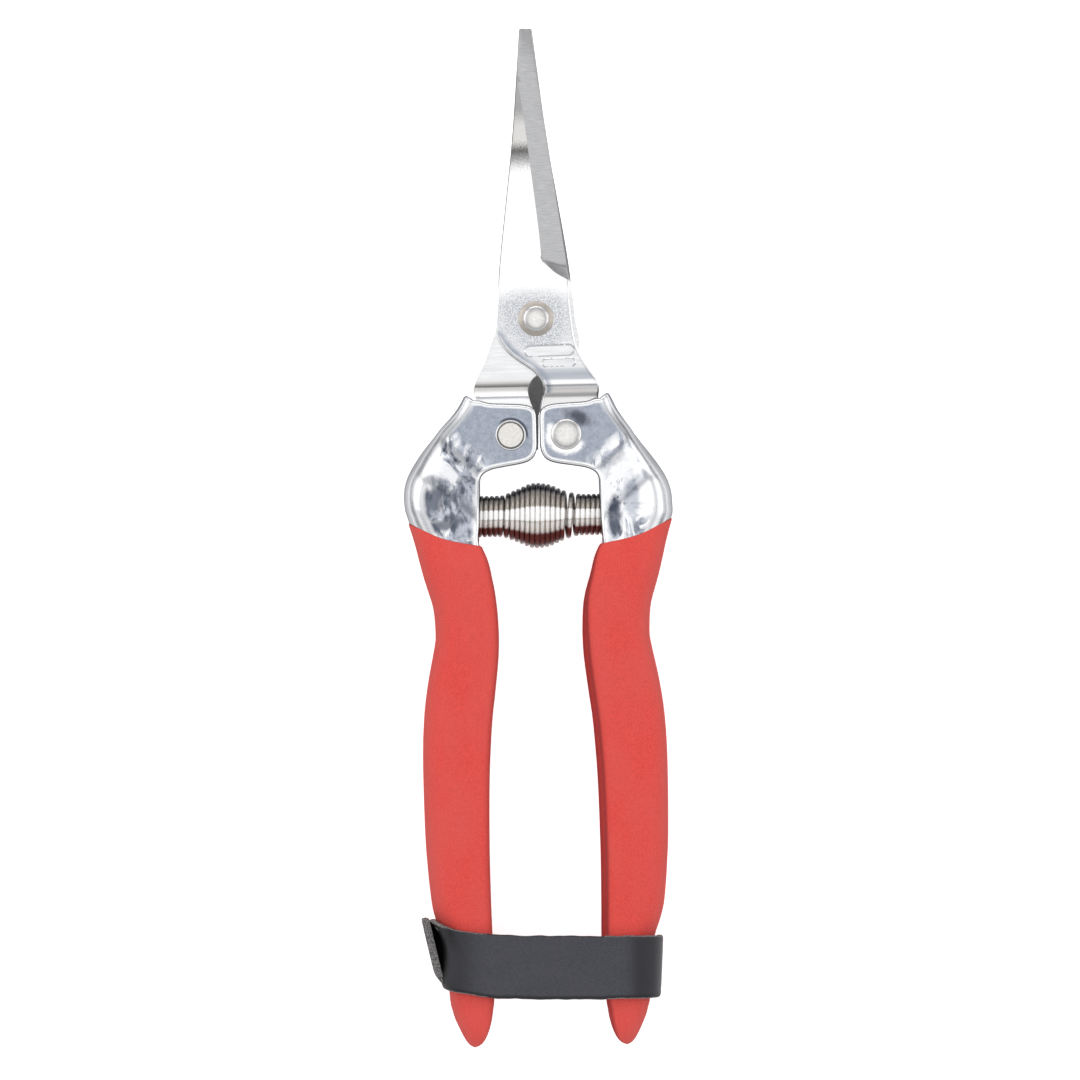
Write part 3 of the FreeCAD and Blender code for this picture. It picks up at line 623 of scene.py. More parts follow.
        if yj > -129.4 or tip_ref is None:
            P = loop(lambda x: yj + sl * (float(DIP(x)) - DIP0))
            if yj < -129.0:
                tip_ref, ref_h = P.copy(), float(BODY_H(yj)) + c
        else:  # the solid end: one section, fitted between the outlines of the tip
            P = tip_ref.copy()
            a0, a1 = P[:, 0].min(), P[:, 0].max()
            b0, b1 = float(TIP_IN(yj)), float(TIP_OUT(yj))
            P[:, 0] = b0 + (P[:, 0] - a0) / (a1 - a0) * (b1 - b0)
            P[:, 1] = yj
            P[:, 2] *= (float(BODY_H(yj)) + c) / ref_h * (0.12 + 0.88 * tipk)
        rows.append(P)
    b.grid(rows, close_u=True)
    # close the two ends
    b.add(rows[0], [list(range(len(rows[0])))])
    last = rows[-1]
    c = last.mean(0) + np.array([0, -0.12, 0])
    b.add(np.vstack([last, [c]]), [[i, (i + 1) % len(last), len(last)] for i in range(len(last))])
    return b


# ---------------------------------------------------------------- blades
BLADE_T, BLADE_GAP, TANG_H = 2.30, 0.02, 1.14
FRONT = {
    "spine": [(-2.05, 54.15), (-2.81, 44.81), (-3.79, 33.59), (-5.15, 22.39), (-6.51, 11.18), (-7.22, 3.71), (-7.66, -0.4)],
    "shoulder": [(-7.66, -0.4), (-7.62, -2.1), (-7.15, -3.8), (-6.3, -5.15), (-5.2, -6.45), (-3.9, -7.55), (-2.5, -8.55), (-1.2, -9.45), (-0.2, -10.4), (0.6, -11.4), (1.05, -12.45), (1.12, -13.4), (0.93, -14.51), (0.62, -15.68), (0.38, -17.0), (0.32, -18.6)],
    "edge": [(0.01, 54.11), (6.34, 7.30)],
    "base": [(6.08, 6.95), (6.34, 3.42), (6.72, 0.05), (6.95, -2.2), (7.35, -4.5), (8.2, -6.9), (9.2, -8.8), (10.35, -10.45), (11.25, -11.75), (11.62, -13.1), (11.42, -14.3), (11.35, -14.95)],
    "bevel": [(-2.62, 47.6), (-2.25, 42.92), (-1.70, 39.0), (-1.01, 33.24), (-0.25, 26.41), (0.35, 21.04), (0.86, 16.2), (1.28, 10.83)],
    "runout": [(1.28, 10.83), (2.08, 10.07), (3.66, 8.61), (5.09, 7.68), (6.34, 7.10)],
}  # fmt: skip
LEAN = -1.80


def leaned(pts):
    a = math.radians(LEAN)
    return [(x * math.cos(a) - y * math.sin(a), x * math.sin(a) + y * math.cos(a)) for x, y in pts]


BACK = {
    "spine": leaned(FRONT["spine"][:5]) + [(-7.02, 3.60), (-7.34, -0.4)],
    "shoulder": [(-7.34, -0.4), (-7.72, -2.3), (-8.05, -4.4), (-7.75, -6.0), (-6.6, -7.2), (-4.9, -8.0), (-3.2, -8.75), (-1.5, -9.55), (-0.2, -10.4), (0.95, -11.4), (1.6, -12.5), (1.76, -13.5), (1.62, -14.6), (1.3, -15.7), (0.75, -17.1), (0.32, -18.6)],
    "edge": leaned(FRONT["edge"]),
    "base": leaned([(6.08, 6.95)]) + [(6.62, 3.3), (7.05, 0.2), (7.62, -2.1), (8.42, -4.2), (9.2, -6.4), (9.95, -8.3), (10.9, -10.1), (11.62, -11.7), (11.93, -13.2), (11.75, -14.3), (11.45, -14.95)],
    "bevel": leaned(FRONT["bevel"]),
    "runout": leaned(FRONT["runout"]),
}  # fmt: skip


def inset_spine(t):
    ys = np.arange(-10.0, -139.0, -0.5)
    x = SPINE(ys)
    k = (SPINE(ys + 0.05) - SPINE(ys - 0.05)) / 0.1
    n = np.hypot(1, k)
    p = sorted(zip(ys + t * k / n, x - t / n))
    clean = [p[0]]
    for q in p[1:]:
        if q[0] > clean[-1][0] + 0.05:
            clean.append(q)
    return pchip(clean)


TANG_EDGE = inset_spine(2.50)


def tang_tail(start):
    outer = [start, (12.2, -15.9)] + [(float(TANG_EDGE(y)), y) for y in np.arange(-17.6, -38.0, -2.0)] + [(float(TANG_EDGE(-39.6)), -39.6)]
    xe = float(TANG_EDGE(-39.6))
    return chain(
        curve(outer, 3),
        [(xe - 1.6, -41.6), (15.6, -41.6), (15.0, -41.0), (15.0, -39.25), (10.9, -39.25)],
        curve([(10.9, -39.25), (10.15, -38.35), (9.95, -36.8), (10.15, -35.25), (10.9, -34.35)], 4),
        [(15.0, -34.35)],
        curve([(15.0, -33.4), (13.4, -31.2), (11.6, -29.5), (9.4, -28.1), (6.4, -27.0), (3.4, -26.4), (1.9, -25.9), (1.0, -25.2), (0.6, -24.2), (0.32, -22.8)], 3),
        [(0.32, -18.6)],
    )


def blade(o, pads, pin_r):
    """A blade lying on the contact plane with its grind up."""
    b = Build()
    tip_l, tip_r = np.array(o["spine"][0]), np.array(o["edge"][0])
    tip_mid = (tip_l + tip_r) / 2 + np.array([0.0, 0.18])
    a = resample(curve(o["spine"][::-1], 6), 0.7)
    t = curve([tip_l, (tip_l + tip_mid) / 2 + np.array([-0.12, 0.12]), tip_mid, (tip_r + tip_mid) / 2 + np.array([0.16, 0.06]), tip_r], 3)
    e = resample([o["edge"][0], o["edge"][1]], 0.45)
    base = resample(chain([o["edge"][1]], curve(o["base"], 5)), 0.28)
    tail = resample(tang_tail(o["base"][-1]), 0.8)
    sh = resample(curve(o["shoulder"][::-1], 5), 0.28)
    line = chain(a, t, e, base, tail, sh)[:-1]
    if area(line) < 0:
        line = line[::-1]
    edge_a, edge_b = np.array(o["edge"][0]), np.array(o["edge"][1])
    bev = np.array(o["bevel"])
    bx = pchip([(p[1], p[0]) for p in bev])
    run = curve(o["runout"], 6)

    def top(p):
        x, y = p[:, 0], p[:, 1]
        z = np.full(len(p), BLADE_GAP + BLADE_T)
        xo = edge_a[0] + (edge_b[0] - edge_a[0]) * (y - edge_a[1]) / (edge_b[1] - edge_a[1])
        yi = np.minimum(y, bev[0, 1])
        xi = bx(yi) + np.maximum(0, y - bev[0, 1]) * 0.035
        w = np.maximum(xo - xi, 0.4)
        drop = (BLADE_T - 0.18) * np.minimum(1.0, 0.55 + 0.45 * np.minimum(1.0, w / 2.5))
        dep = drop / w * (x - xi)
        # the wheel's run-out: the grind rises to the flat along a hollow curve
        dr = dist_to(run, p, closed=False)
        low = run_side(p)
        t = np.clip((x - run[0, 0]) / (run[-1, 0] - run[0, 0]), 0, 1)
        hollow = np.clip(dr / (0.35 + 2.1 * t), 0, 1)
        dep = np.where(dep > 0, dep * hollow, 0) * low
        z = z - np.clip(dep, 0, BLADE_T - 0.18)
        for (cx, cy, hx, hy, ang) in pads:
            ca, sa = math.cos(ang), math.sin(ang)
            u = (x - cx) * ca + (y - cy) * sa
            v = -(x - cx) * sa + (y - cy) * ca
            q = np.hypot(np.maximum(np.abs(u) - hx + hy, 0), v)
            z = z + 0.11 * smooth(hy + 0.14, hy - 0.10, q)
        return z

    def run_side(p):
        """1 above the run-out curve, 0 below it."""
        rx = np.r_[-20, run[:, 0], 20]
        ry = np.r_[run[0, 1] + 0.0, run[:, 1], run[-1, 1] - 0.3]
        return (p[:, 1] > np.interp(p[:, 0], rx, ry)).astype(float)

    drop_f = pchip([(-60, 1.0), (-15.2, 1.0), (-14.8, 0.97), (-13.6, 0.55), (-12.6, 0.07), (-12.2, 0.0), (60, 0.0)])

    def sink(y):
        """How far the tang has stepped down: 0 blade, 1 mid-plane."""
        return drop_f(y)

    TOP_DROP = BLADE_GAP + BLADE_T - TANG_H
    BOT_DROP = BLADE_GAP + TANG_H

    def heights(p):
        s = sink(p[:, 1])
        return top(p) - s * TOP_DROP, BLADE_GAP - s * BOT_DROP

    # rings round the edge: a fine broken edge, wider on the shoulder than at the cutting edge
    zt, zb = heights(line)
    thick = zt - zb
    er = np.minimum(0.20 + 0.32 * smooth(9.0, 0.0, line[:, 1]), 0.42 * thick)
    er = np.where((line[:, 1] > 7.0) & (line[:, 0] > 0.3), np.minimum(er, 0.13), er)
    n_r = 4
    top_rings, bot_rings = [], []
    for k in range(n_r + 1):
        q = math.pi / 2 * k / n_r
        d = er * (1 - math.cos(q))
        ring = inset_line(line, d)
        zt_r, zb_r = heights(ring)
        top_rings.append(np.c_[ring, zt_r - er * (1 - math.sin(q))])
        db = np.minimum(er, 0.12) * (1 - math.cos(q))
        ringb = inset_line(line, db)
        _, zb_b = heights(ringb)
        bot_rings.append(np.c_[ringb, zb_b + np.minimum(er, 0.12) * (1 - math.sin(q))])
    b.grid(top_rings, close_u=True)
    b.grid(bot_rings, close_u=True)
    b.grid([top_rings[0], bot_rings[0]], close_u=True)
    circ = lambda r, c=(0.0, 0.0), n=48: np.array([(c[0] + r * math.cos(q), c[1] + r * math.sin(q)) for q in np.linspace(0, 2 * math.pi, n, endpoint=False)])
    holes = [circ(pin_r), circ(1.92, RIVET, 40)]
    inner = top_rings[-1][:, :2]
    crease = resample(curve(np.vstack([bev[::-1]]), 5), 0.7)[1:]
    ins = dist_to(inner, crease) > 0.25
    crease = crease[ins & inside(inner, crease)]
    run_c = resample(run, 0.35)
    run_c = run_c[inside(inner, run_c) & (dist_to(inner, run_c) > 0.15)]
    if np.linalg.norm(run_c[0] - crease[0]) < 1.2:
        crease = np.vstack([run_c[:1], crease[1:] if np.linalg.norm(run_c[0] - crease[0]) < 0.5 else crease])
    fine = []
    for (cx, cy, hx, hy, ang) in pads:
        gx, gy = np.meshgrid(np.arange(-hx - 0.5, hx + 0.5, 0.2), np.arange(-hy - 0.5, hy + 0.5, 0.2))
        ca, sa = math.cos(ang), math.sin(ang)
        fine.append(np.c_[cx + gx.ravel() * ca - gy.ravel() * sa, cy + gx.ravel() * sa + gy.ravel() * ca])
    gx, gy = np.meshgrid(np.arange(0.9, 7.0, 0.35), np.arange(6.9, 16.5, 0.35))
    fine.append(np.c_[gx.ravel(), gy.ravel()])
    gx, gy = np.meshgrid(np.arange(0.6, 12.2, 0.5), np.arange(-15.5, -11.9, 0.24))
    fine.append(np.c_[gx.ravel(), gy.ravel()])
    for d in (0.8, 1.1, 1.4, 1.8, 2.2):
        for q in (d, -d):
            fine.append(inset_line(resample(curve(o["shoulder"], 5), 0.35), q, closed=False))
    v, f = fill(inner, 0.95, holes=holes, creases=[crease, run_c], extra=np.vstack(fine), keep_off=0.16)
    zt, _ = heights(v)
    b.add(np.c_[v, zt], f)
    innerb = bot_rings[-1][:, :2]
    v2, f2 = fill(innerb, 1.6, holes=holes, extra=np.c_[gx.ravel(), gy.ravel()], keep_off=0.3)
    _, zb2 = heights(v2)
    b.add(np.c_[v2, zb2 * np.ones(len(v2))], f2)
    for h in holes:
        zt, zb = heights(h)
        b.grid([np.c_[h, zt], np.c_[h, zb * np.ones(len(h))]], close_u=True)
    return b


# ---------------------------------------------------------------- turned parts
def lathe(profile, n=72, at=(0.0, 0.0)):
    """Closed (r, z) profile from axis to axis, turned about a line along Z."""
    b = Build()
    rows = []
    for r, z in profile:
        r = max(r, 0.0)
        rows.append([(at[0] + r * math.cos(q), at[1] + r * math.sin(q), z) for q in np.linspace(0, 2 * math.pi, n, endpoint=False)])
    b.grid(rows, close_u=True)
    return b


def rounded(profile, r, n=4, closed=False):
    """A (r, z) line with its inner corners rounded by up to r."""
    p = np.array(profile, float)
    out = [p[0]]
    for i in range(1, len(p) - 1):
        a, c, d = p[i - 1], p[i], p[i + 1]
        la, ld = np.linalg.norm(a - c), np.linalg.norm(d - c)
        k = min(r, 0.45 * la, 0.45 * ld)
        s, e = c + (a - c) / la * k, c + (d - c) / ld * k
        for j in range(n + 1):
            t = j / n
            out.append((1 - t) ** 2 * s + 2 * t * (1 - t) * c + t * t * e)
    out.append(p[-1])
    return out


# ---------------------------------------------------------------- spring
VIS_X = [-11.14, -10.18, -9.22, -8.26, -7.30, -6.16, -5.15, -4.215, -3.28, -2.345, -1.41, -0.475, 0.46, 1.395, 2.33, 3.265, 4.20, 5.60, 7.00, 7.96, 8.92, 9.88, 10.84]
VIS_R = [3.44, 3.44, 3.44, 3.44, 3.46, 3.78, 4.21, 4.56, 4.97, 5.38, 5.65, 5.71, 5.62, 5.47, 5.17, 4.72, 4.32, 3.87, 3.54, 3.46, 3.44, 3.44, 3.44]
WIRE_R = 0.45


def spring():
    hl, hr, pitch = 3.55, 3.86, 0.961
    nv = len(VIS_X) - 1
    xf = pchip([(-hl, VIS_X[0] - pitch * hl), (-2.0, VIS_X[0] - pitch * 2), (-1.0, VIS_X[0] - pitch)] + list(enumerate(VIS_X)) + [(nv + 1.0, VIS_X[-1] + pitch), (nv + 2.0, VIS_X[-1] + 2 * pitch), (nv + hr, VIS_X[-1] + pitch * hr)])
    rf = pchip([(-hl, 3.44), (-1.0, 3.44)] + list(enumerate(VIS_R)) + [(nv + 1.0, 3.44), (nv + hr, 3.44)])
    turns = nv + hl + hr
    n = int(turns * 40)
    k = np.linspace(-hl, nv + hr, n + 1)
    a = 2 * math.pi * k
    P = np.c_[xf(k), SPRING_Y + rf(k) * np.sin(a), rf(k) * np.cos(a)]
    T = np.gradient(P, axis=0)
    T /= np.linalg.norm(T, axis=1)[:, None]
    out = np.c_[np.zeros(n + 1), np.sin(a), np.cos(a)]
    out -= T * (out * T).sum(1)[:, None]
    out /= np.linalg.norm(out, axis=1)[:, None]
    side = np.cross(T, out)
    m = 12
    rows = []
    for i in range(n + 1):
        w = WIRE_R
        rows.append([P[i] + w * (math.cos(q) * out[i] + math.sin(q) * side[i]) for q in np.linspace(0, 2 * math.pi, m, endpoint=False)])
    b = Build()
    b.grid(rows, close_u=True)
    for i, s in ((0, -1), (n, 1)):
        c = P[i] + T[i] * 0.0
        b.add(np.vstack([rows[i], [c]]), [[j, (j + 1) % m, m] for j in range(m)])
    ob = b.mesh("spring_coil")
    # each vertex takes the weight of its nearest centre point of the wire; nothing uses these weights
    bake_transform(ob)
    weight = smooth(-11.8, 11.8, P[:, 0])
    # nearest centre point of every vertex
    co = np.array([v.co for v in ob.data.vertices]) / MM - np.array([0, PIVOT_Y, 0])
    w = np.zeros(len(co))
    for s in range(0, len(co), 500):
        d = ((co[s : s + 500, None, :] - P[None, :, :]) ** 2).sum(2)
        w[s : s + 500] = weight[d.argmin(1)]
    # where round the turn each point lies, which places the painted light bands on the wire
    ry, rz = co[:, 1] - SPRING_Y, co[:, 2]
    wind = ob.data.attributes.new("wind", "FLOAT", "POINT")
    wind.data.foreach_set("value", (ry / np.hypot(ry, rz)).astype(np.float32))
    return ob


# ---------------------------------------------------------------- strap
STRAP_T = 1.50


def strap_shape(f):
    """Cross-section numbers at f, 0 at the strap's top edge line and 1 at its lower one."""
    lerp = lambda a, b: a + (b - a) * f
    return dict(xr=lerp(21.65, 20.72), fo=lerp(-23.75, -20.50), fi=lerp(-22.05, -18.98), leg=lerp(-21.02, -18.84), hz=lerp(6.12, 4.95), fe=lerp(4.7, 4.1))


def strap_line(f):
    """Middle line of the leather in (x, z), from the tucked end inside the lap, over the front, round the right, back
    along the rear and up the left side to the lap's free end."""
    s = strap_shape(f)
    t = STRAP_T / 2
    xl = (s["leg"] + s["fi"]) / 2 - 0.05
    h = s["hz"] + t
    xr = s["xr"] - t
    fo = s["fo"] + t
    pts = [(xl, -1.6), (xl, 0.6), (xl, h - 3.4)]
    pts += [(xl + 3.4 - 3.4 * math.cos(q), h - 3.4 + 3.4 * math.sin(q)) for q in np.linspace(0.15, math.pi / 2, 7)]
    pts += [(x, h + 0.16 * math.sin((x + 17) / 34 * math.pi)) for x in np.linspace(-13, 13, 14)]
    pts += [(xr - 3.7 + 3.7 * math.sin(q), h - 3.7 + 3.7 * math.cos(q)) for q in np.linspace(0, math.pi / 2, 8)]
    pts += [(xr, 0.0)]
    pts += [(xr - 3.7 + 3.7 * math.cos(q), -h + 3.7 - 3.7 * math.sin(q)) for q in np.linspace(0, math.pi / 2, 8)]
    pts += [(x, -h) for x in np.linspace(13, -13, 12)]
    pts += [(fo + 4.0 - 4.0 * math.sin(q), -h + 4.0 - 4.0 * math.cos(q)) for q in np.linspace(0.1, math.pi / 2, 8)]
    pts += [(fo, 0.0), (fo, 2.4), (fo + 0.02, s["fe"])]
    return pts


def strap():
    top = pchip([(-26.0, -111.2), (-23.9, -111.45), (-21.9, -111.75), (-20.3, -112.5), (-18.6, -113.3), (-16.6, -113.87), (-12.9, -114.42), (-9.1, -114.78), (-1.7, -115.12), (9.6, -115.36), (17.5, -115.55), (25.0, -115.75)])
    low = pchip([(25.0, -127.30), (17.5, -127.30), (9.3, -127.33), (-1.9, -127.02), (-9.4, -126.75), (-13.1, -126.25), (-16.9, -125.5), (-19.3, -124.75), (-21.2, -124.1), (-26.0, -123.3)])
    n = 260
    nw = 22

    def centre(f):
        p = curve(strap_line(f), 6)
        d = np.r_[0, np.cumsum(np.hypot(*np.diff(p, axis=0).T))]
        t = np.linspace(0, d[-1], n)
        return np.c_[np.interp(t, d, p[:, 0]), np.interp(t, d, p[:, 1])]

    c0, c1 = centre(0.0), centre(1.0)

    def normals(c):
        t = np.gradient(c, axis=0)
        t /= np.linalg.norm(t, axis=1)[:, None]
        return np.c_[-t[:, 1], t[:, 0]]

    n0 = normals((c0 + c1) / 2)
    # outward is away from the loop's middle
    sgn = np.sign(((c0 + c1)[:, 0] * n0[:, 0] + (c0 + c1)[:, 1] * n0[:, 1]).sum())
    n0 = n0 * sgn
    rng = np.random.default_rng(7)
    fray = rng.normal(0, 1, (2, n)).cumsum(1)
    fray = fray - np.linspace(0, 1, n) * fray[:, -1:]
    ker = np.hanning(9) / np.hanning(9).sum()
    jag = np.array([np.convolve(rng.normal(0, 0.05, n), ker, "same") * 2.2 for _ in range(2)])
    # loop round the leather's cross-section: outer face, lower edge, inner face, upper edge
    r = 0.28
    prof = []
    for i in range(nw + 1):
        prof.append((i / nw, 1.0))
    rows = []
    for i in range(n):
        ends = []
        sect = []
        half = STRAP_T / 2
        taper = 1.0
        ring = []
        # (width place 0..1, offset -1..1, edge inset)
        us = np.linspace(0, 1, nw + 1)
        ring += [(u, 1.0, 0.0) for u in us[1:-1]]
        ring += [(1.0, 0.86, -0.22), (1.0, 0.5, -0.04), (1.0, 0.0, 0.0), (1.0, -0.5, -0.04), (1.0, -0.86, -0.22)]
        ring += [(u, -1.0, 0.0) for u in us[1:-1][::-1]]
        ring += [(0.0, -0.86, 0.22), (0.0, -0.5, 0.04), (0.0, 0.0, 0.0), (0.0, 0.5, 0.04), (0.0, 0.86, 0.22)]
        for u, o, e in ring:
            # position across the width
            y_est = -112.0 - 15.0 * u
            f = u
            x = c0[i, 0] + (c1[i, 0] - c0[i, 0]) * f
            yt, yl = float(top(x)) + jag[0, i], float(low(x)) + jag[1, i]
            y = yt + (yl - yt) * (u if 0 < u < 1 else u)
            f = (y + 112.0) / -15.0
            p = c0[i] + (c1[i] - c0[i]) * f
            x, z = p
            nx, nz = n0[i]
            if i < n // 3:  # the front band draws in beside the lap, leaving a wedge of shadow
                g = min(1.0, max(0.0, u / 0.82))
                x += 1.60 * math.sin(math.pi * g**0.85) * float(smooth(0.0, 3.2, z)) * (1 - float(smooth(-17.2, -12.0, x)))
            if i > int(n * 0.8) and x < -15:  # the lap's lower corner rounds in to the grip
                x += 1.7 * max(0.0, (u - 0.74) / 0.26) ** 2
            if z < 1.0 and u < 0.5:  # the rear is trimmed a little lower
                y -= 0.85 * float(smooth(1.0, -4.0, z)) * (1 - u / 0.5)
            press = 0.0
            if o > 0.9:
                edge = min(u, 1 - u) * 12.2
                press = -0.07 * math.exp(-(((edge - 1.5) / 0.22) ** 2)) - 0.10 * math.exp(-((edge / 0.55) ** 2))
            x += nx * (half * o + press)
            z += nz * (half * o + press)
            ring_y = y - e * 1.0 if u in (0.0,) else (y - e if u == 1.0 else y)
            sect.append((x, ring_y, z))
        rows.append(sect)
    b = Build()
    b.grid(rows, close_u=True)
    for i in (0, n - 1):
        # flat cut ends, slightly crowned and rough
        R = np.array(rows[i])
        m = len(R)
        c = R.mean(0)
        t = (R - np.array(rows[1 if i == 0 else n - 2])).mean(0)
        t /= np.linalg.norm(t)
        top_i = list(range(0, nw - 1))
        a = R[: nw - 1]
        bb = R[nw - 1 + 5 : 2 * (nw - 1) + 5][::-1]
        strips = []
        for s in np.linspace(0, 1, 7):
            mid = a + (bb - a) * s
            bulge = 0.05 * math.sin(math.pi * s)
            noise = rng.normal(0, 0.035, len(mid)) * (math.sin(math.pi * s))
            strips.append(mid + t * (bulge + noise)[:, None])
        b.grid(strips)
        # the two small side closures
        upper = np.vstack([R[2 * (nw - 1) + 5 :], R[0:1]])
        side_a = np.vstack([bb[0:1], R[2 * (nw - 1) + 5 :], a[0:1]])
        mids = np.array([st[0] for st in strips])[::-1]
        b.add(np.vstack([side_a, mids[1:-1]]), [list(range(len(side_a) + len(mids) - 2))[::-1]] if False else [list(range(len(side_a))) + list(range(len(side_a) + len(mids) - 3, len(side_a) - 1, -1))])
        side_b = np.vstack([a[-1:], R[nw - 1 : nw - 1 + 5], bb[-1:]])
        mids = np.array([st[-1] for st in strips])
        b.add(np.vstack([side_b, mids[1:-1]]), [list(range(len(side_b))) + list(range(len(side_b) + len(mids) - 3, len(side_b) - 1, -1))])
    return b


# ---------------------------------------------------------------- materials
class Nodes:
    """A short way to write a node tree: N("TexNoise", Scale=3) returns the node, links are given as sockets."""

    def __init__(self, name):
        self.mat = bpy.data.materials.new(name)
        self.mat.use_nodes = True
        self.t = self.mat.node_tree
        self.bsdf = next(n for n in self.t.nodes if n.type == "BSDF_PRINCIPLED")
        self.co = self("ShaderNodeTexCoord")

    def __call__(self, kind, _props=None, **inputs):
        n = self.t.nodes.new(kind)
        for k, v in (_props or {}).items():
            setattr(n, k, v)
        for k, v in inputs.items():
            key = int(k[1:]) if k[0] == "i" and k[1:].isdigit() else k.replace("_", " ")
            self.put(n.inputs[key], v)
        return n

    def put(self, socket, v):
        if hasattr(v, "is_output"):
            self.t.links.new(v, socket)
        elif hasattr(v, "outputs"):
            self.t.links.new(v.outputs[0], socket)
        else:
            socket.default_value = v

    def mm(self, sx=1.0, sy=1.0, sz=1.0, rot=0.0):
        """Object coordinates in millimetres, scaled per axis and turned about Z."""
        m = self("ShaderNodeMapping", Vector=self.co.outputs["Object"])
        m.inputs["Scale"].default_value = (1000 * sx, 1000 * sy, 1000 * sz)
        m.inputs["Rotation"].default_value = (0, 0, rot)
        return m

    def noise(self, vec, scale, detail=3.0, rough=0.55, distort=0.0):
        return self("ShaderNodeTexNoise", Vector=vec, Scale=scale, Detail=detail, Roughness=rough, Distortion=distort).outputs["Fac"]

    def math(self, op, a, b=None, clamp=False):
        n = self("ShaderNodeMath", {"operation": op, "use_clamp": clamp})
        self.put(n.inputs[0], a)
        if b is not None:
            self.put(n.inputs[1], b)
        return n.outputs[0]

    def remap(self, v, a, b, c, d, smooth=False):
        n = self("ShaderNodeMapRange", {"interpolation_type": "SMOOTHSTEP"} if smooth else None)
        self.put(n.inputs["Value"], v)
        for k, q in zip(("From Min", "From Max", "To Min", "To Max"), (a, b, c, d)):
            self.put(n.inputs[k], q)
        return n.outputs[0]

    def mix(self, f, a, b):
        n = self("ShaderNodeMix", {"data_type": "RGBA"})
        self.put(n.inputs[0], f)
        self.put(n.inputs[6], a)
        self.put(n.inputs[7], b)
        return n.outputs[2]

    def ramp(self, v, a, b, stops):
        """Colour along v, which runs from a to b; stops are (v, grey or rgb)."""
        n = self("ShaderNodeValToRGB")
        self.put(n.inputs[0], self.remap(v, a, b, 0.0, 1.0))
        el = n.color_ramp.elements
        stops = sorted(((q - a) / (b - a), c if isinstance(c, tuple) else (c, c, c)) for q, c in stops)
        el[0].position, el[-1].position = stops[0][0], stops[-1][0]
        for q, c in stops[1:-1]:
            el.new(q)
        for (q, c), e in zip(stops, sorted(el, key=lambda e: e.position)):
            e.color = (*c, 1.0)
        return n.outputs[0]

    def attr(self, name):
        return self("ShaderNodeAttribute", {"attribute_name": name}).outputs["Fac"]

    def bump(self, height, strength, dist_mm, normal=None):
        n = self("ShaderNodeBump", Strength=strength, Distance=dist_mm * MM)
        self.put(n.inputs["Height"], height)
        if normal is not None:
            self.put(n.inputs["Normal"], normal)
        return n.outputs["Normal"]

    def set(self, **kw):
        for k, v in kw.items():
            self.put(self.bsdf.inputs[k.replace("_", " ")], v)
        return self.mat


def rgb(*c):
    return (c[0], c[1], c[2], 1.0)


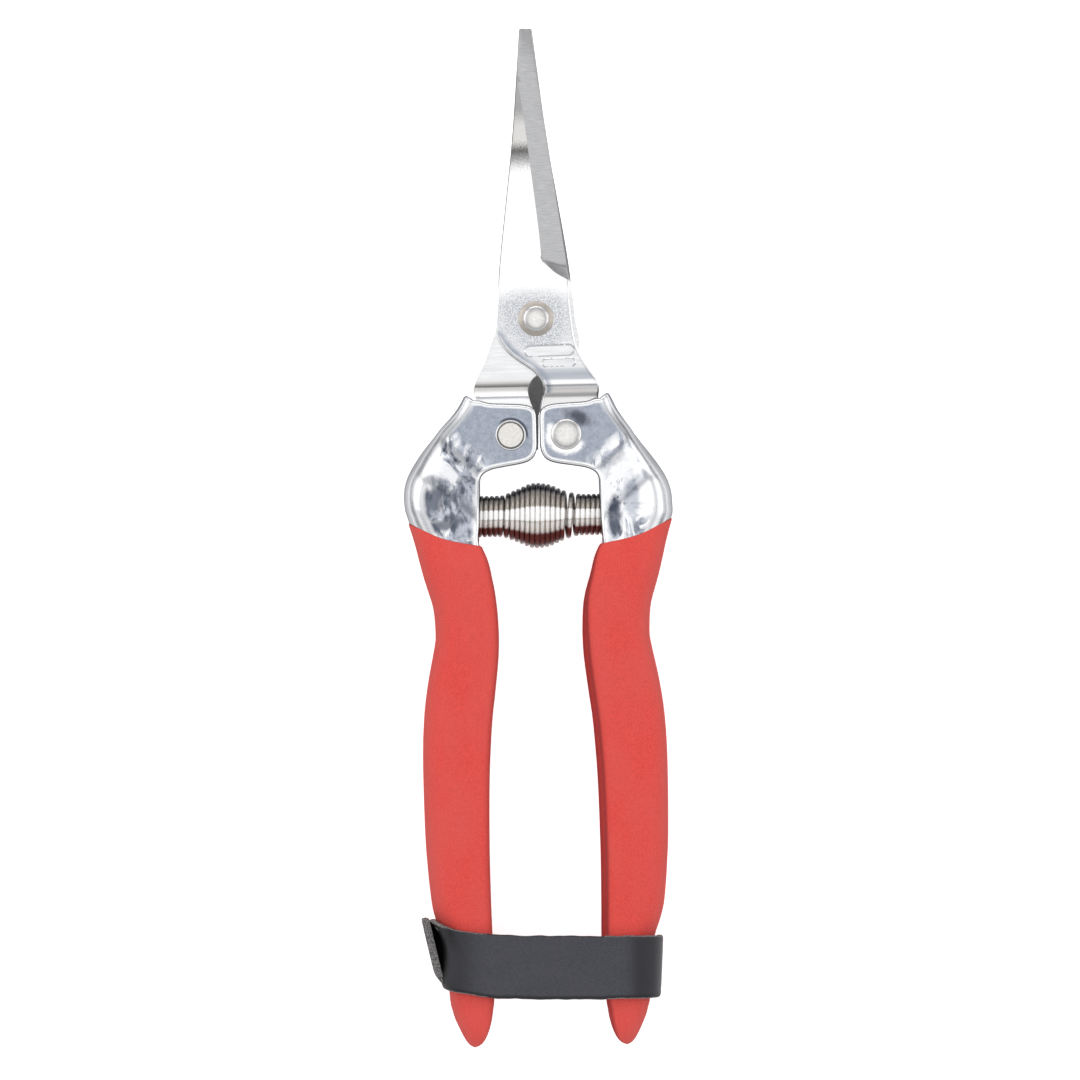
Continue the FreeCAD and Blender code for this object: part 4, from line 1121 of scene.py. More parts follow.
def metal_blade(name, side):
    """Ground and polished stainless: lines across the grind, a fine blasted field round the pivot, polish elsewhere;
    shade and highlights at the tang's step, beside the shoulder, on the grind and on the broken edges are painted in.
    """
    N = Nodes(name)
    pos = N("ShaderNodeSeparateXYZ", Vector=N.mm())
    x = N.math("MULTIPLY", pos.outputs["X"], float(side))
    y = N.math("SUBTRACT", pos.outputs["Y"], PIVOT_Y)
    nrm = N("ShaderNodeSeparateXYZ", Vector=N.co.outputs["Normal"])
    nz = N.math("ABSOLUTE", nrm.outputs["Z"])
    ground = N.remap(N.math("MULTIPLY", nrm.outputs["X"], N.math("SIGN", nrm.outputs["Z"])), 0.10, 0.16, 0.0, 1.0)
    ground = N.math("MULTIPLY", ground, N.math("MULTIPLY", N.remap(nz, 0.5, 0.75, 0.0, 1.0), N.remap(y, 6.2, 7.2, 0.0, 1.0)))
    lines = N.noise(N.mm(0.22, 9.0, 1.0, math.radians(4)), 1.0, 4.0, 0.62)
    lines2 = N.noise(N.mm(0.5, 22.0, 1.0, math.radians(4)), 1.0, 2.0, 0.5)
    brush = N.noise(N.mm(0.14, 1.6, 1.0, 0.06), 1.0, 5.0, 0.7)
    cloud = N.noise(N.mm(0.16, 0.10, 0.16), 1.0, 3.0, 0.5)
    speck = N.noise(N.mm(), 3.4, 3.0, 0.7)
    speck2 = N.noise(N.mm(), 7.0, 2.0, 0.6)
    r = N.math("SQRT", N.math("ADD", N.math("MULTIPLY", x, x), N.math("MULTIPLY", y, y)))
    r = N.math("ADD", r, N.math("MULTIPLY", N.math("SUBTRACT", cloud, 0.5), 5.0))
    field = N.math("MULTIPLY", N.remap(r, 4.2, 8.6, 1.0, 0.0, True), N.math("SUBTRACT", 1.0, N.attr("pad")))
    below = N.remap(N.math("ADD", y, N.math("MULTIPLY", N.math("SUBTRACT", speck, 0.5), 3.0)), 2.4, 7.2, 1.0, 0.0, True)
    # polished flat: white, with the reflections that cross it near the tip
    flat = N.ramp(N.math("ADD", y, N.math("MULTIPLY", N.math("SUBTRACT", speck, 0.5), 3.2)), 26.0, 46.0, [(26.0, 0.93), (26.8, 0.93), (28.2, 0.76), (29.6, 0.40), (30.9, 0.20), (31.5, (0.12, 0.11, 0.10)), (32.2, 0.33), (33.3, (0.64, 0.625, 0.61)), (36.2, (0.62, 0.61, 0.60)), (39.0, 0.34), (42.0, 0.36), (46.0, 0.42)])
    sandy = N.mix(N.remap(speck, 0.40, 0.60, 0.0, 1.0), rgb(0.42, 0.44, 0.475), rgb(0.86, 0.865, 0.875))
    tang = N.mix(N.remap(brush, 0.32, 0.68, 0.0, 1.0), rgb(0.66, 0.67, 0.685), rgb(0.82, 0.82, 0.825))
    # the tang's step: painted shade at its crease and painted highlights across its bend, in bands along y
    if side > 0:
        fold_shading = N.ramp(y, -16.0, -8.6, [(-16.0, 0.72), (-14.6, (0.74, 0.72, 0.70)), (-14.1, (0.36, 0.345, 0.33)), (-13.75, (0.66, 0.63, 0.60)), (-13.1, (0.56, 0.54, 0.52)), (-12.5, 0.66), (-12.2, 0.95), (-11.7, 0.90), (-11.3, (0.32, 0.345, 0.40)), (-10.4, (0.265, 0.295, 0.355)), (-9.5, (0.46, 0.485, 0.535)), (-8.6, 0.80)])
    else:
        fold_shading = N.ramp(y, -16.0, -10.4, [(-16.0, 0.80), (-15.0, 0.90), (-14.3, 0.88), (-13.6, (0.46, 0.445, 0.43)), (-12.9, (0.24, 0.225, 0.21)), (-12.2, (0.12, 0.11, 0.10)), (-11.9, (0.42, 0.40, 0.385)), (-11.4, 0.70), (-10.4, 0.80)])
    tang = N.mix(N.remap(y, -10.6 if side < 0 else -8.8, -11.2 if side < 0 else -9.6, 0.0, 1.0, True), tang, N.mix(0.28, fold_shading, tang))
    base = N.mix(below, flat, N.mix(field, tang, sandy))
    # painted shade: a blue-grey band beside the shoulder, for the shade of its groove, which the blade's surface
    # doesn't carry
    groove = N.attr("groove")
    base = N.mix(N.math("MULTIPLY", groove, N.remap(cloud, 0.35, 0.6, 0.45, 1.0)), base, rgb(0.27, 0.30, 0.36))
    grind = N.mix(N.remap(lines, 0.35, 0.65, 0.0, 1.0), rgb(0.355, 0.355, 0.36), rgb(0.48, 0.48, 0.482))
    # painted shade on the grind where it faces back towards the handles
    facet_shade = N.remap(N.math("MULTIPLY", nrm.outputs["Y"], -1.0), 0.10, 0.28, 0.0, 1.0)
    grind = N.mix(N.math("MULTIPLY", facet_shade, 0.38), grind, rgb(0.16, 0.165, 0.18))
    base = N.mix(ground, base, grind)
    if side < 0:  # the back blade's spine shows past the front one as a thin dark line
        run = [p for p in BACK["spine"] if 8.0 < p[1] < 36.0]
        k1, k0 = np.polyfit([p[1] for p in run], [p[0] for p in run], 1)
        ds = N.math("SUBTRACT", x, N.math("ADD", N.math("MULTIPLY", y, float(k1)), float(k0)))
        # painted shade: a thin dark line along the back blade's spine where it shows past the front one
        spine_shade = N.math("MULTIPLY", N.remap(ds, 0.50, 0.72, 0.9, 0.0), N.math("MULTIPLY", N.remap(y, 6.8, 7.6, 0.0, 1.0), N.remap(y, 34.0, 30.0, 0.0, 1.0)))
        base = N.mix(spine_shade, base, rgb(0.13, 0.135, 0.145))
    # painted light on the broken edges: on the shoulder and tang the tone follows the tilt, light where an edge turns a
    # little and dark where it stands steep; beyond y 8 the edges are painted dark
    rim = N.math("MULTIPLY", N.remap(nz, 0.90, 0.97, 1.0, 0.0), N.math("SUBTRACT", 1.0, ground))
    rim = N.math("MULTIPLY", rim, N.math("SUBTRACT", 1.0, N.math("MULTIPLY", N.remap(y, -11.7, -12.3, 0.0, 1.0), N.remap(nz, 0.15, 0.4, 0.0, 1.0))))
    edge = N.ramp(nz, 0.0, 1.0, [(0.0, (0.20, 0.195, 0.19)), (0.3, 0.40), (0.6, 0.84), (1.0, 0.95)])
    base = N.mix(rim, base, N.mix(N.remap(y, 5.5, 8.0, 0.0, 1.0), edge, rgb(0.10, 0.098, 0.095)))
    rough = N.mix(ground, N.mix(field, rgb(0.20, 0.20, 0.20), rgb(0.34, 0.34, 0.34)), rgb(0.36, 0.36, 0.36))
    rough = N.math("ADD", rough, N.math("MULTIPLY", N.math("SUBTRACT", lines2, 0.5), 0.12))
    b1 = N.bump(lines, N.math("ADD", N.math("MULTIPLY", ground, 0.30), 0.03), 0.012)
    b2 = N.bump(speck2, N.math("MULTIPLY", field, 0.30), 0.02, b1)
    b3 = N.bump(cloud, 0.12, 0.05, b2)
    return N.set(Base_Color=base, Metallic=1.0, Roughness=rough, Normal=b3)


def metal_chrome(name):
    """Plated pressed sheet with painted reflections: quiet on the lugs, mottled with painted dark and white reflections
    on the bodies, painted bright wherever it turns away."""
    N = Nodes(name)
    pos = N("ShaderNodeSeparateXYZ", Vector=N.mm())
    x, y = pos.outputs["X"], N.math("SUBTRACT", pos.outputs["Y"], PIVOT_Y)
    nz = N.math("ABSOLUTE", N("ShaderNodeSeparateXYZ", Vector=N.co.outputs["Normal"]).outputs["Z"])
    s = N.math("SUBTRACT", N.math("MULTIPLY", N.math("ABSOLUTE", x), 0.64), N.math("MULTIPLY", y, 0.77))
    warp = N.noise(N.mm(), 0.30, 3.0, 0.55)
    cloud = N.noise(N.mm(), 0.35, 3.0, 0.5)
    mottle = N.noise(N.mm(), 1.0, 4.0, 0.62)
    grain = N.noise(N.mm(), 4.5, 2.0, 0.6)
    big = N.noise(N.mm(1.0, 0.62, 1.0, 0.5), 0.27, 5.0, 0.62, 0.9)
    body = N.remap(N.math("ADD", s, N.math("MULTIPLY", N.math("SUBTRACT", warp, 0.5), 5.0)), 25.4, 28.0, 0.0, 1.0, True)
    # painted reflection: the flat lugs mirror a mottled blue-grey
    lug = N.mix(N.remap(N.math("ADD", N.math("MULTIPLY", mottle, 0.6), N.math("MULTIPLY", grain, 0.4)), 0.38, 0.62, 0.0, 1.0), rgb(0.265, 0.295, 0.355), rgb(0.405, 0.435, 0.50))
    left = N.remap(x, -3.0, 3.0, 1.0, 0.0)
    soft = N.noise(N.mm(1.0, 0.55, 1.0, 0.35), 0.62, 3.0, 0.55, 0.6)
    # painted reflections on the bodies: a dark mottle broken by white streaks
    dark = N.mix(N.remap(N.math("ADD", N.math("MULTIPLY", soft, 0.75), N.math("MULTIPLY", mottle, 0.25)), 0.36, 0.60, 0.0, 1.0, True), rgb(0.10, 0.115, 0.15), rgb(0.50, 0.53, 0.60))
    streak = N.remap(N.math("ADD", big, N.math("MULTIPLY", left, -0.006)), 0.470, 0.560, 0.0, 1.0, True)
    patch = N.mix(streak, dark, rgb(0.90, 0.905, 0.92))

    def blob(cx, cy, rx, ry, turn=0.0, edge=0.45):
        """A soft mask for a patch of painted reflection at a place on the face, wobbling with the mottle."""
        u, v = N.math("SUBTRACT", x, cx), N.math("SUBTRACT", y, cy)
        c, q = math.cos(turn), math.sin(turn)
        a = N.math("DIVIDE", N.math("ADD", N.math("MULTIPLY", u, c), N.math("MULTIPLY", v, q)), rx)
        d = N.math("DIVIDE", N.math("SUBTRACT", N.math("MULTIPLY", v, c), N.math("MULTIPLY", u, q)), ry)
        r = N.math("SQRT", N.math("ADD", N.math("MULTIPLY", a, a), N.math("MULTIPLY", d, d)))
        r = N.math("ADD", r, N.math("MULTIPLY", N.math("SUBTRACT", soft, 0.5), 1.3))
        return N.remap(r, 1.0 - edge, 1.0 + edge, 1.0, 0.0, True)

    # the light and dark of the painted reflections
    white, deep = rgb(0.92, 0.925, 0.935), rgb(0.085, 0.097, 0.13)
    # painted reflections on the left body: dark down the outer side, a white flash at its head, a thin white line
    # across it
    patch = N.mix(N.math("MULTIPLY", blob(-19.6, -33.6, 3.4, 1.9, 1.45), 0.80), patch, deep)
    patch = N.mix(N.math("MULTIPLY", blob(-17.2, -37.9, 3.4, 1.3, 0.25), 0.85), patch, deep)
    patch = N.mix(N.math("MULTIPLY", blob(-17.6, -28.6, 2.6, 1.1, -0.35), 0.85), patch, white)
    # painted reflections on the right body: white across the rise, a soft grey column, darker against the inner edge
    patch = N.mix(N.math("MULTIPLY", blob(15.6, -27.2, 4.2, 2.1, 0.75), 0.85), patch, white)
    patch = N.mix(N.math("MULTIPLY", blob(17.2, -33.8, 1.3, 4.2, 0.0), 0.75), patch, rgb(0.40, 0.43, 0.50))
    patch = N.mix(N.math("MULTIPLY", blob(13.9, -37.2, 1.2, 3.2, 0.0), 0.85), patch, deep)
    patch = N.mix(N.math("MULTIPLY", blob(20.4, -33.0, 1.6, 5.4, 0.0), 0.75), patch, white)
    # a painted highlight over the inner side of each body, lower down
    inner = N.math("MULTIPLY", N.remap(N.math("ABSOLUTE", x), 12.0, 13.2, 1.0, 0.0, True), N.remap(y, -31.0, -33.5, 0.0, 0.85))
    patch = N.mix(inner, patch, white)
    flat = N.mix(body, lug, patch)
    # what the rivets do to the sheet round them, painted as reflections: a white halo below the right rivet, a dark
    # patch above and right of it, a dark crescent on the upper right of the left one
    ru, rv = N.math("SUBTRACT", x, RIVET[0]), N.math("SUBTRACT", y, RIVET[1])
    rr = N.math("SQRT", N.math("ADD", N.math("MULTIPLY", ru, ru), N.math("MULTIPLY", rv, rv)))
    low = N.remap(N.math("ADD", N.math("MULTIPLY", ru, 0.6), rv), -0.4, 1.0, 1.0, 0.0, True)
    rivet_halo_reflection = N.math("MULTIPLY", N.remap(N.math("ADD", rr, N.math("MULTIPLY", N.math("SUBTRACT", mottle, 0.5), 1.6)), 3.3, 4.3, 1.0, 0.0, True), low)
    flat = N.mix(rivet_halo_reflection, flat, white)
    flat = N.mix(N.math("MULTIPLY", blob(7.3, -18.5, 2.5, 1.15, -0.45, 0.55), 0.85), flat, rgb(0.05, 0.055, 0.075))
    lu = N.math("ADD", x, RIVET[0])
    lr = N.math("SQRT", N.math("ADD", N.math("MULTIPLY", lu, lu), N.math("MULTIPLY", rv, rv)))
    rivet_crescent_shade = N.math("MULTIPLY", N.remap(lr, 3.15, 3.40, 1.0, 0.0, True), N.remap(N.math("ADD", N.math("MULTIPLY", lu, 0.6), rv), 0.6, 2.0, 0.0, 0.9, True))
    flat = N.mix(rivet_crescent_shade, flat, rgb(0.06, 0.068, 0.09))
    # painted dark reflection: a thin line where the flat starts to turn, stronger on the lugs
    crest_reflection = N.math("MULTIPLY", N.remap(nz, 0.90, 0.965, 0.0, 1.0, True), N.remap(nz, 0.975, 0.998, 1.0, 0.0, True))
    flat = N.mix(N.math("MULTIPLY", crest_reflection, N.math("SUBTRACT", 0.55, N.math("MULTIPLY", body, 0.35))), flat, rgb(0.13, 0.15, 0.20))
    # painted light and shade where the sheet turns away and along the marked rims: the tone follows the tilt
    turn = N.math("MAXIMUM", N.remap(nz, 0.74, 0.86, 1.0, 0.0, True), N.attr("rim"))
    edge = N.ramp(nz, 0.0, 1.0, [(0.0, (0.34, 0.345, 0.36)), (0.14, (0.24, 0.245, 0.26)), (0.34, (0.15, 0.153, 0.16)), (0.50, (0.19, 0.194, 0.203)), (0.62, (0.34, 0.345, 0.355)), (0.74, 0.88), (1.0, 0.95)])
    # the outer flank: painted shade, a broad soft grey, lighter at the outline
    fl = N.attr("flank")
    grey = N.ramp(fl, 0.0, 1.0, [(0.0, 0.92), (0.16, 0.80), (0.36, (0.46, 0.465, 0.475)), (0.56, (0.28, 0.283, 0.29)), (0.74, (0.27, 0.273, 0.28)), (0.90, (0.36, 0.365, 0.375)), (1.0, (0.50, 0.505, 0.52))])
    grey = N.mix(N.remap(y, -27.0, -32.0, 0.0, 0.42), grey, rgb(0.56, 0.565, 0.58))
    edge = N.mix(N.math("MULTIPLY", N.remap(fl, 0.04, 0.30, 0.0, 0.9), N.remap(y, -15.8, -20.0, 0.15, 1.0)), edge, grey)
    # a little painted blue-grey reflection, mottled, over the turned parts
    edge = N.mix(N.remap(mottle, 0.3, 0.7, 0.0, 0.16), edge, rgb(0.45, 0.47, 0.52))
    base = N.mix(turn, flat, edge)
    rough = N.math("ADD", N.remap(mottle, 0.3, 0.7, 0.14, 0.26), N.math("MULTIPLY", grain, 0.06))
    b = N.bump(cloud, 0.16, 0.10)
    b = N.bump(mottle, 0.14, 0.03, b)
    b = N.bump(grain, 0.06, 0.01, b)
    # painted shade in the reflections: the specular tint is dimmed where the sheet turns
    tint = N.ramp(nz, 0.0, 1.0, [(0.0, 0.80), (0.15, 0.50), (0.35, 0.30), (0.6, 0.55), (0.8, 1.0), (1.0, 1.0)])
    # a little light of its own where the sheet turns over, so that the turn doesn't mirror a dark horizon as a hard line
    lift = N.math("MULTIPLY", N.remap(nz, 0.56, 0.68, 0.0, 1.0, True), N.remap(nz, 0.76, 0.86, 1.0, 0.0, True))
    return N.set(Base_Color=base, Metallic=1.0, Roughness=rough, Normal=b, Specular_Tint=tint, Emission_Color=rgb(0.92, 0.935, 0.96), Emission_Strength=N.math("MULTIPLY", lift, 0.22))


def metal_rivet(name, c, rough=0.20, ring=None):
    N = Nodes(name)
    n = N.noise(N.mm(), 1.6, 3.0, 0.55)
    g = N.noise(N.mm(), 7.0, 2.0, 0.6)
    base = N.mix(N.remap(n, 0.35, 0.65, 0.0, 1.0), rgb(*[v * 0.88 for v in c]), rgb(*c))
    if ring:  # a disc with a bright rolled ring round it
        pos = N("ShaderNodeSeparateXYZ", Vector=N.mm())
        u, v = N.math("SUBTRACT", pos.outputs["X"], ring[0]), N.math("SUBTRACT", pos.outputs["Y"], PIVOT_Y + ring[1])
        r = N.math("SQRT", N.math("ADD", N.math("MULTIPLY", u, u), N.math("MULTIPLY", v, v)))
        # a painted highlight on the rolled ring, with a thin line of painted shade at its inner edge
        base = N.mix(N.remap(r, 2.38, 2.44, 0.0, 1.0), base, rgb(0.93, 0.93, 0.925))
        base = N.mix(N.remap(N.math("ABSOLUTE", N.math("SUBTRACT", r, 2.39)), 0.05, 0.11, 0.85, 0.0), base, rgb(0.14, 0.13, 0.12))
    b = N.bump(n, 0.06, 0.03)
    b = N.bump(g, 0.08, 0.01, b)
    return N.set(Base_Color=base, Metallic=1.0, Roughness=N.remap(g, 0.3, 0.7, rough - 0.03, rough + 0.06), Normal=b)


def metal_wire(name):
    """Bright wire wound close, its reflections painted in: bands of light and dark run across the turns, with a painted
    glow on the bright band.
    """
    N = Nodes(name)
    v = N.attr("wind")
    n = N.noise(N.mm(), 0.9, 2.0, 0.5)
    v = N.math("ADD", v, N.math("MULTIPLY", N.math("SUBTRACT", n, 0.5), 0.05))
    # painted reflections across each turn: a dark red band mirroring the grips on the lower side, a white band across
    # the middle, taupe, and near black along the upper side
    base = N.ramp(v, -1.0, 1.0, [(-1.0, 0.36), (-0.93, 0.32), (-0.88, (0.13, 0.035, 0.030)), (-0.60, (0.14, 0.036, 0.030)), (-0.50, (0.66, 0.62, 0.58)), (-0.24, (0.90, 0.885, 0.86)), (-0.20, (0.60, 0.56, 0.51)), (-0.15, 0.96), (0.25, 0.97), (0.31, (0.46, 0.415, 0.37)), (0.68, (0.36, 0.335, 0.31)), (0.76, (0.16, 0.15, 0.145)), (0.82, (0.020, 0.020, 0.026)), (1.0, (0.016, 0.016, 0.021))])
    body = N.math("MULTIPLY", N.remap(v, -0.56, -0.48, 0.0, 1.0), N.remap(v, 0.82, 0.70, 0.0, 1.0))
    highlight_band = N.math("MULTIPLY", N.remap(v, -0.24, -0.14, 0.0, 1.0), N.remap(v, 0.32, 0.24, 0.0, 1.0))
    nx = N.math("ABSOLUTE", N("ShaderNodeSeparateXYZ", Vector=N.co.outputs["Normal"]).outputs["X"])
    # painted light: tan lines lighten the shade where one turn meets the next
    turn_gap_light = N.remap(nx, 0.42, 0.80, 0.0, 1.0, True)  # tan lines where one turn meets the next
    base = N.mix(N.math("MULTIPLY", N.math("MULTIPLY", turn_gap_light, body), N.math("SUBTRACT", 0.60, N.math("MULTIPLY", highlight_band, 0.38))), base, rgb(0.42, 0.36, 0.30))
    metal = N.math("SUBTRACT", N.math("MULTIPLY", body, 0.55), N.math("MULTIPLY", highlight_band, 0.40))
    # a painted glow, though the wire is no lamp: the white band and the part of each turn below it give off a little
    # light
    lit = N.math("ADD", N.math("MULTIPLY", highlight_band, 0.15), N.math("MULTIPLY", N.remap(v, -0.20, -0.30, 0.0, 1.0), N.math("MULTIPLY", body, 0.12)))
    lit = N.math("MULTIPLY", lit, N.math("SUBTRACT", 1.0, N.math("MULTIPLY", turn_gap_light, 0.35)))
    return N.set(Base_Color=base, Metallic=metal, Roughness=N.remap(n, 0.3, 0.7, 0.24, 0.32), Specular_IOR_Level=N.math("ADD", N.math("MULTIPLY", body, 0.40), 0.12), Emission_Color=rgb(0.95, 0.90, 0.84), Emission_Strength=lit)


def vinyl(name):
    """Matt dipped coat with a fine suede grain, a little paler where it is handled; painted shade darkens its sides,
    its outline, the right grip's inner wall and the faces turned into the channel.
    """
    N = Nodes(name)
    fine = N.noise(N.mm(), 3.4, 3.0, 0.7)
    pores = N("ShaderNodeTexVoronoi", {"feature": "F1"}, Vector=N.mm(), Scale=2.6).outputs["Distance"]
    cloud = N.noise(N.mm(1, 0.4, 1), 0.16, 3.0, 0.5)
    base = N.mix(N.remap(fine, 0.34, 0.66, 0.0, 1.0), rgb(0.76, 0.068, 0.056), rgb(0.93, 0.099, 0.080))
    base = N.mix(N.math("MULTIPLY", N.remap(cloud, 0.38, 0.62, 0.0, 1.0), 0.35), base, rgb(0.80, 0.125, 0.105))
    # painted shade towards the outline, where the coat is seen at a slant
    grazing_shade = N("ShaderNodeLayerWeight", Blend=0.32).outputs["Facing"]
    base = N.mix(N.remap(grazing_shade, 0.25, 0.85, 0.0, 0.50), base, rgb(0.40, 0.060, 0.052))
    flank = N("ShaderNodeSeparateXYZ", Vector=N.co.outputs["Normal"])
    gx = N("ShaderNodeSeparateXYZ", Vector=N.mm()).outputs["X"]
    # painted shade on the sides, where the coat turns away from the top
    base = N.mix(N.remap(N.math("ABSOLUTE", flank.outputs["Z"]), 0.93, 0.40, 0.0, 0.60), base, rgb(0.44, 0.066, 0.057))
    # painted shade on the right grip's wall that faces the other grip, stronger at the tip
    gy = N.math("SUBTRACT", N("ShaderNodeSeparateXYZ", Vector=N.mm()).outputs["Y"], PIVOT_Y)
    turned = N.math("SUBTRACT", N.remap(gy, -126.0, -129.0, 0.0, 0.35), flank.outputs["X"])
    base = N.mix(N.math("MULTIPLY", N.remap(turned, 0.55, 0.92, 0.0, 0.72), N.remap(gx, 5.0, 6.0, 0.0, 1.0)), base, rgb(0.32, 0.022, 0.024))
    # painted shade on the faces turned into the channel
    gz = N("ShaderNodeSeparateXYZ", Vector=N.mm()).outputs["Z"]
    gn = N("ShaderNodeSeparateXYZ", Vector=N.co.outputs["Normal"]).outputs["Z"]
    inward_shade = N.remap(N.math("MULTIPLY", gn, N.math("SIGN", gz)), -0.02, -0.25, 0.0, 0.42)
    base = N.mix(inward_shade, base, rgb(0.28, 0.022, 0.022))
    b = N.bump(fine, 0.42, 0.07)
    b = N.bump(pores, 0.22, 0.05, b)
    m = N.set(Base_Color=base, Roughness=0.82, Normal=b, Specular_IOR_Level=N.remap(N.math("ABSOLUTE", flank.outputs["Z"]), 0.10, 0.60, 0.04, 0.30))
    N.bsdf.inputs["Sheen Weight"].default_value = 0.05
    N.bsdf.inputs["Sheen Roughness"].default_value = 0.45
    N.bsdf.inputs["Sheen Tint"].default_value = (1.0, 0.62, 0.55, 1)
    return m


def leather(name):
    N = Nodes(name)
    fine = N.noise(N.mm(), 2.2, 4.0, 0.62)
    cell = N("ShaderNodeTexVoronoi", {"feature": "DISTANCE_TO_EDGE"}, Vector=N.mm(), Scale=1.9).outputs["Distance"]
    cloud = N.noise(N.mm(0.5, 1, 0.5), 0.22, 3.0, 0.5)
    x = N("ShaderNodeSeparateXYZ", Vector=N.mm()).outputs["X"]
    # painted shade: darker towards both ends, where the band rounds over the grips
    ends = N.math("MAXIMUM", N.remap(x, -11.5, -18.0, 0.0, 1.0, True), N.math("MULTIPLY", N.remap(x, 13.6, 17.0, 0.0, 1.0, True), N.remap(x, 19.0, 21.5, 1.0, 0.72, True)))
    base = N.mix(N.remap(fine, 0.35, 0.65, 0.0, 1.0), rgb(0.045, 0.046, 0.054), rgb(0.069, 0.070, 0.083))
    base = N.mix(N.math("MULTIPLY", N.remap(cloud, 0.4, 0.6, 0.0, 1.0), 0.3), base, rgb(0.076, 0.074, 0.086))
    base = N.mix(N.math("MULTIPLY", ends, 0.80), base, rgb(0.020, 0.0195, 0.024))
    # painted shade along the top and bottom edges, where the face turns away
    ny = N.math("ABSOLUTE", N("ShaderNodeSeparateXYZ", Vector=N.co.outputs["Normal"]).outputs["Y"])
    base = N.mix(N.remap(ny, 0.10, 0.32, 0.0, 0.85, True), base, rgb(0.010, 0.010, 0.012))
    # painted shadow: near black in the wedge between the lap and the front band
    pz = N("ShaderNodeSeparateXYZ", Vector=N.mm()).outputs["Z"]
    deep = N.math("MULTIPLY", N.remap(x, -16.5, -18.0, 0.0, 1.0), N.math("MULTIPLY", N.remap(pz, 5.9, 5.0, 0.0, 1.0), N.remap(pz, -1.0, 0.5, 0.0, 1.0)))
    base = N.mix(N.math("MULTIPLY", deep, 0.92), base, rgb(0.004, 0.004, 0.005))
    b = N.bump(N.remap(cell, 0.0, 0.12, 0.0, 1.0), 0.10, 0.03)
    b = N.bump(fine, 0.22, 0.05, b)
    N.bsdf.inputs["Specular IOR Level"].default_value = 0.38
    return N.set(Base_Color=base, Roughness=N.remap(fine, 0.3, 0.7, 0.48, 0.64), Normal=b)


def raw_edge(name):
    """Cut edge of the leather: greyish tan fibre, flecked dark."""
    N = Nodes(name)
    f = N.noise(N.mm(), 3.2, 4.0, 0.75)
    g = N.noise(N.mm(), 7.5, 3.0, 0.7)
    base = N.mix(N.remap(f, 0.40, 0.60, 0.0, 1.0), rgb(0.034, 0.034, 0.042), rgb(0.25, 0.235, 0.225))
    base = N.mix(N.remap(g, 0.54, 0.64, 0.0, 0.8), base, rgb(0.46, 0.43, 0.41))
    b = N.bump(f, 0.6, 0.12)
    b = N.bump(g, 0.4, 0.06, b)
    return N.set(Base_Color=base, Roughness=0.95, Normal=b)


M_FRONT = metal_blade("blade_front_steel", 1)
M_BACK = metal_blade("blade_back_steel", -1)
M_CHROME = metal_chrome("plated_sheet")
M_RIVET = metal_rivet("rivet_nickel", (0.79, 0.775, 0.755))
# the washer's warm tint is the metal's; its darker grey is a painted reflection of its sloping face
M_WASHER = metal_rivet("washer_warm_grey", (0.59, 0.535, 0.475), 0.34)
M_RIVET_L = metal_rivet("rivet_nickel_ringed", (0.74, 0.72, 0.69), ring=(-RIVET[0], RIVET[1]))
M_WIRE = metal_wire("spring_wire")
M_GRIP = vinyl("dipped_red_vinyl")
M_LEATHER = leather("black_leather")
M_RAW = raw_edge("leather_cut_edge")

# ---------------------------------------------------------------- assembly
PADS = [(2.35, -6.02, 4.60, 0.96, 0.02), (4.10, -8.30, 3.10, 0.76, 0.02)]
fb = sharpen(blade(FRONT, PADS, 2.15).mesh("blade_front"), 24)
show(fb, "right_half", ["front_blade"], M_FRONT)
# where the blade's material paints the groove's shade: a band beside the shoulder on the top face
groove_shade_line = resample(curve(FRONT["shoulder"], 5), 0.3)
groove_shade_line = groove_shade_line[groove_shade_line[:, 1] < -3.6]
co = np.array([v.co for v in fb.data.vertices]) / MM
gd = dist_to(groove_shade_line, co[:, :2] - np.array([0.0, PIVOT_Y]), closed=False)
gv = np.clip((gd - 0.52) / 0.2, 0, 1) * np.clip((1.9 - gd) / 0.9, 0, 1) * (co[:, 2] > 1.5)
ga = fb.data.attributes.new("groove", "FLOAT", "POINT")
ga.data.foreach_set("value", gv.astype(np.float32))
pv = np.zeros(len(co))
for cx, cy, hx, hy, ang in PADS:
    u = (co[:, 0] - cx) * math.cos(ang) + (co[:, 1] - PIVOT_Y - cy) * math.sin(ang)
    v = -(co[:, 0] - cx) * math.sin(ang) + (co[:, 1] - PIVOT_Y - cy) * math.cos(ang)
    q = np.hypot(np.maximum(np.abs(u) - hx + hy, 0), v)
    pv = np.maximum(pv, smooth(hy + 0.10, hy - 0.12, q) * (co[:, 2] > 1.5))
pa = fb.data.attributes.new("pad", "FLOAT", "POINT")
pa.data.foreach_set("value", pv.astype(np.float32))
bb = sharpen(blade(BACK, [], 2.10).mesh("blade_back", turn=True), 24)
show(bb, "left_half", ["back_blade"], M_BACK)

right = sharpen(channel().mesh("handle_right"), 50)
mark_rim(right)
lean_flank(right, LEAN_R)
show(right, "right_half", ["right_handle"], M_CHROME)
left = sharpen(channel().mesh("handle_left", turn=True), 50)
mark_rim(left)
lean_flank(left, LEAN_L)
show(left, "left_half", ["left_handle"], M_CHROME)

gr = sharpen(grip(0.68).mesh("grip_right"), 60)
show(gr, "right_half", ["right_grip"], M_GRIP)
gl = sharpen(grip().mesh("grip_left", turn=True), 60)
show(gl, "left_half", ["left_grip"], M_GRIP)

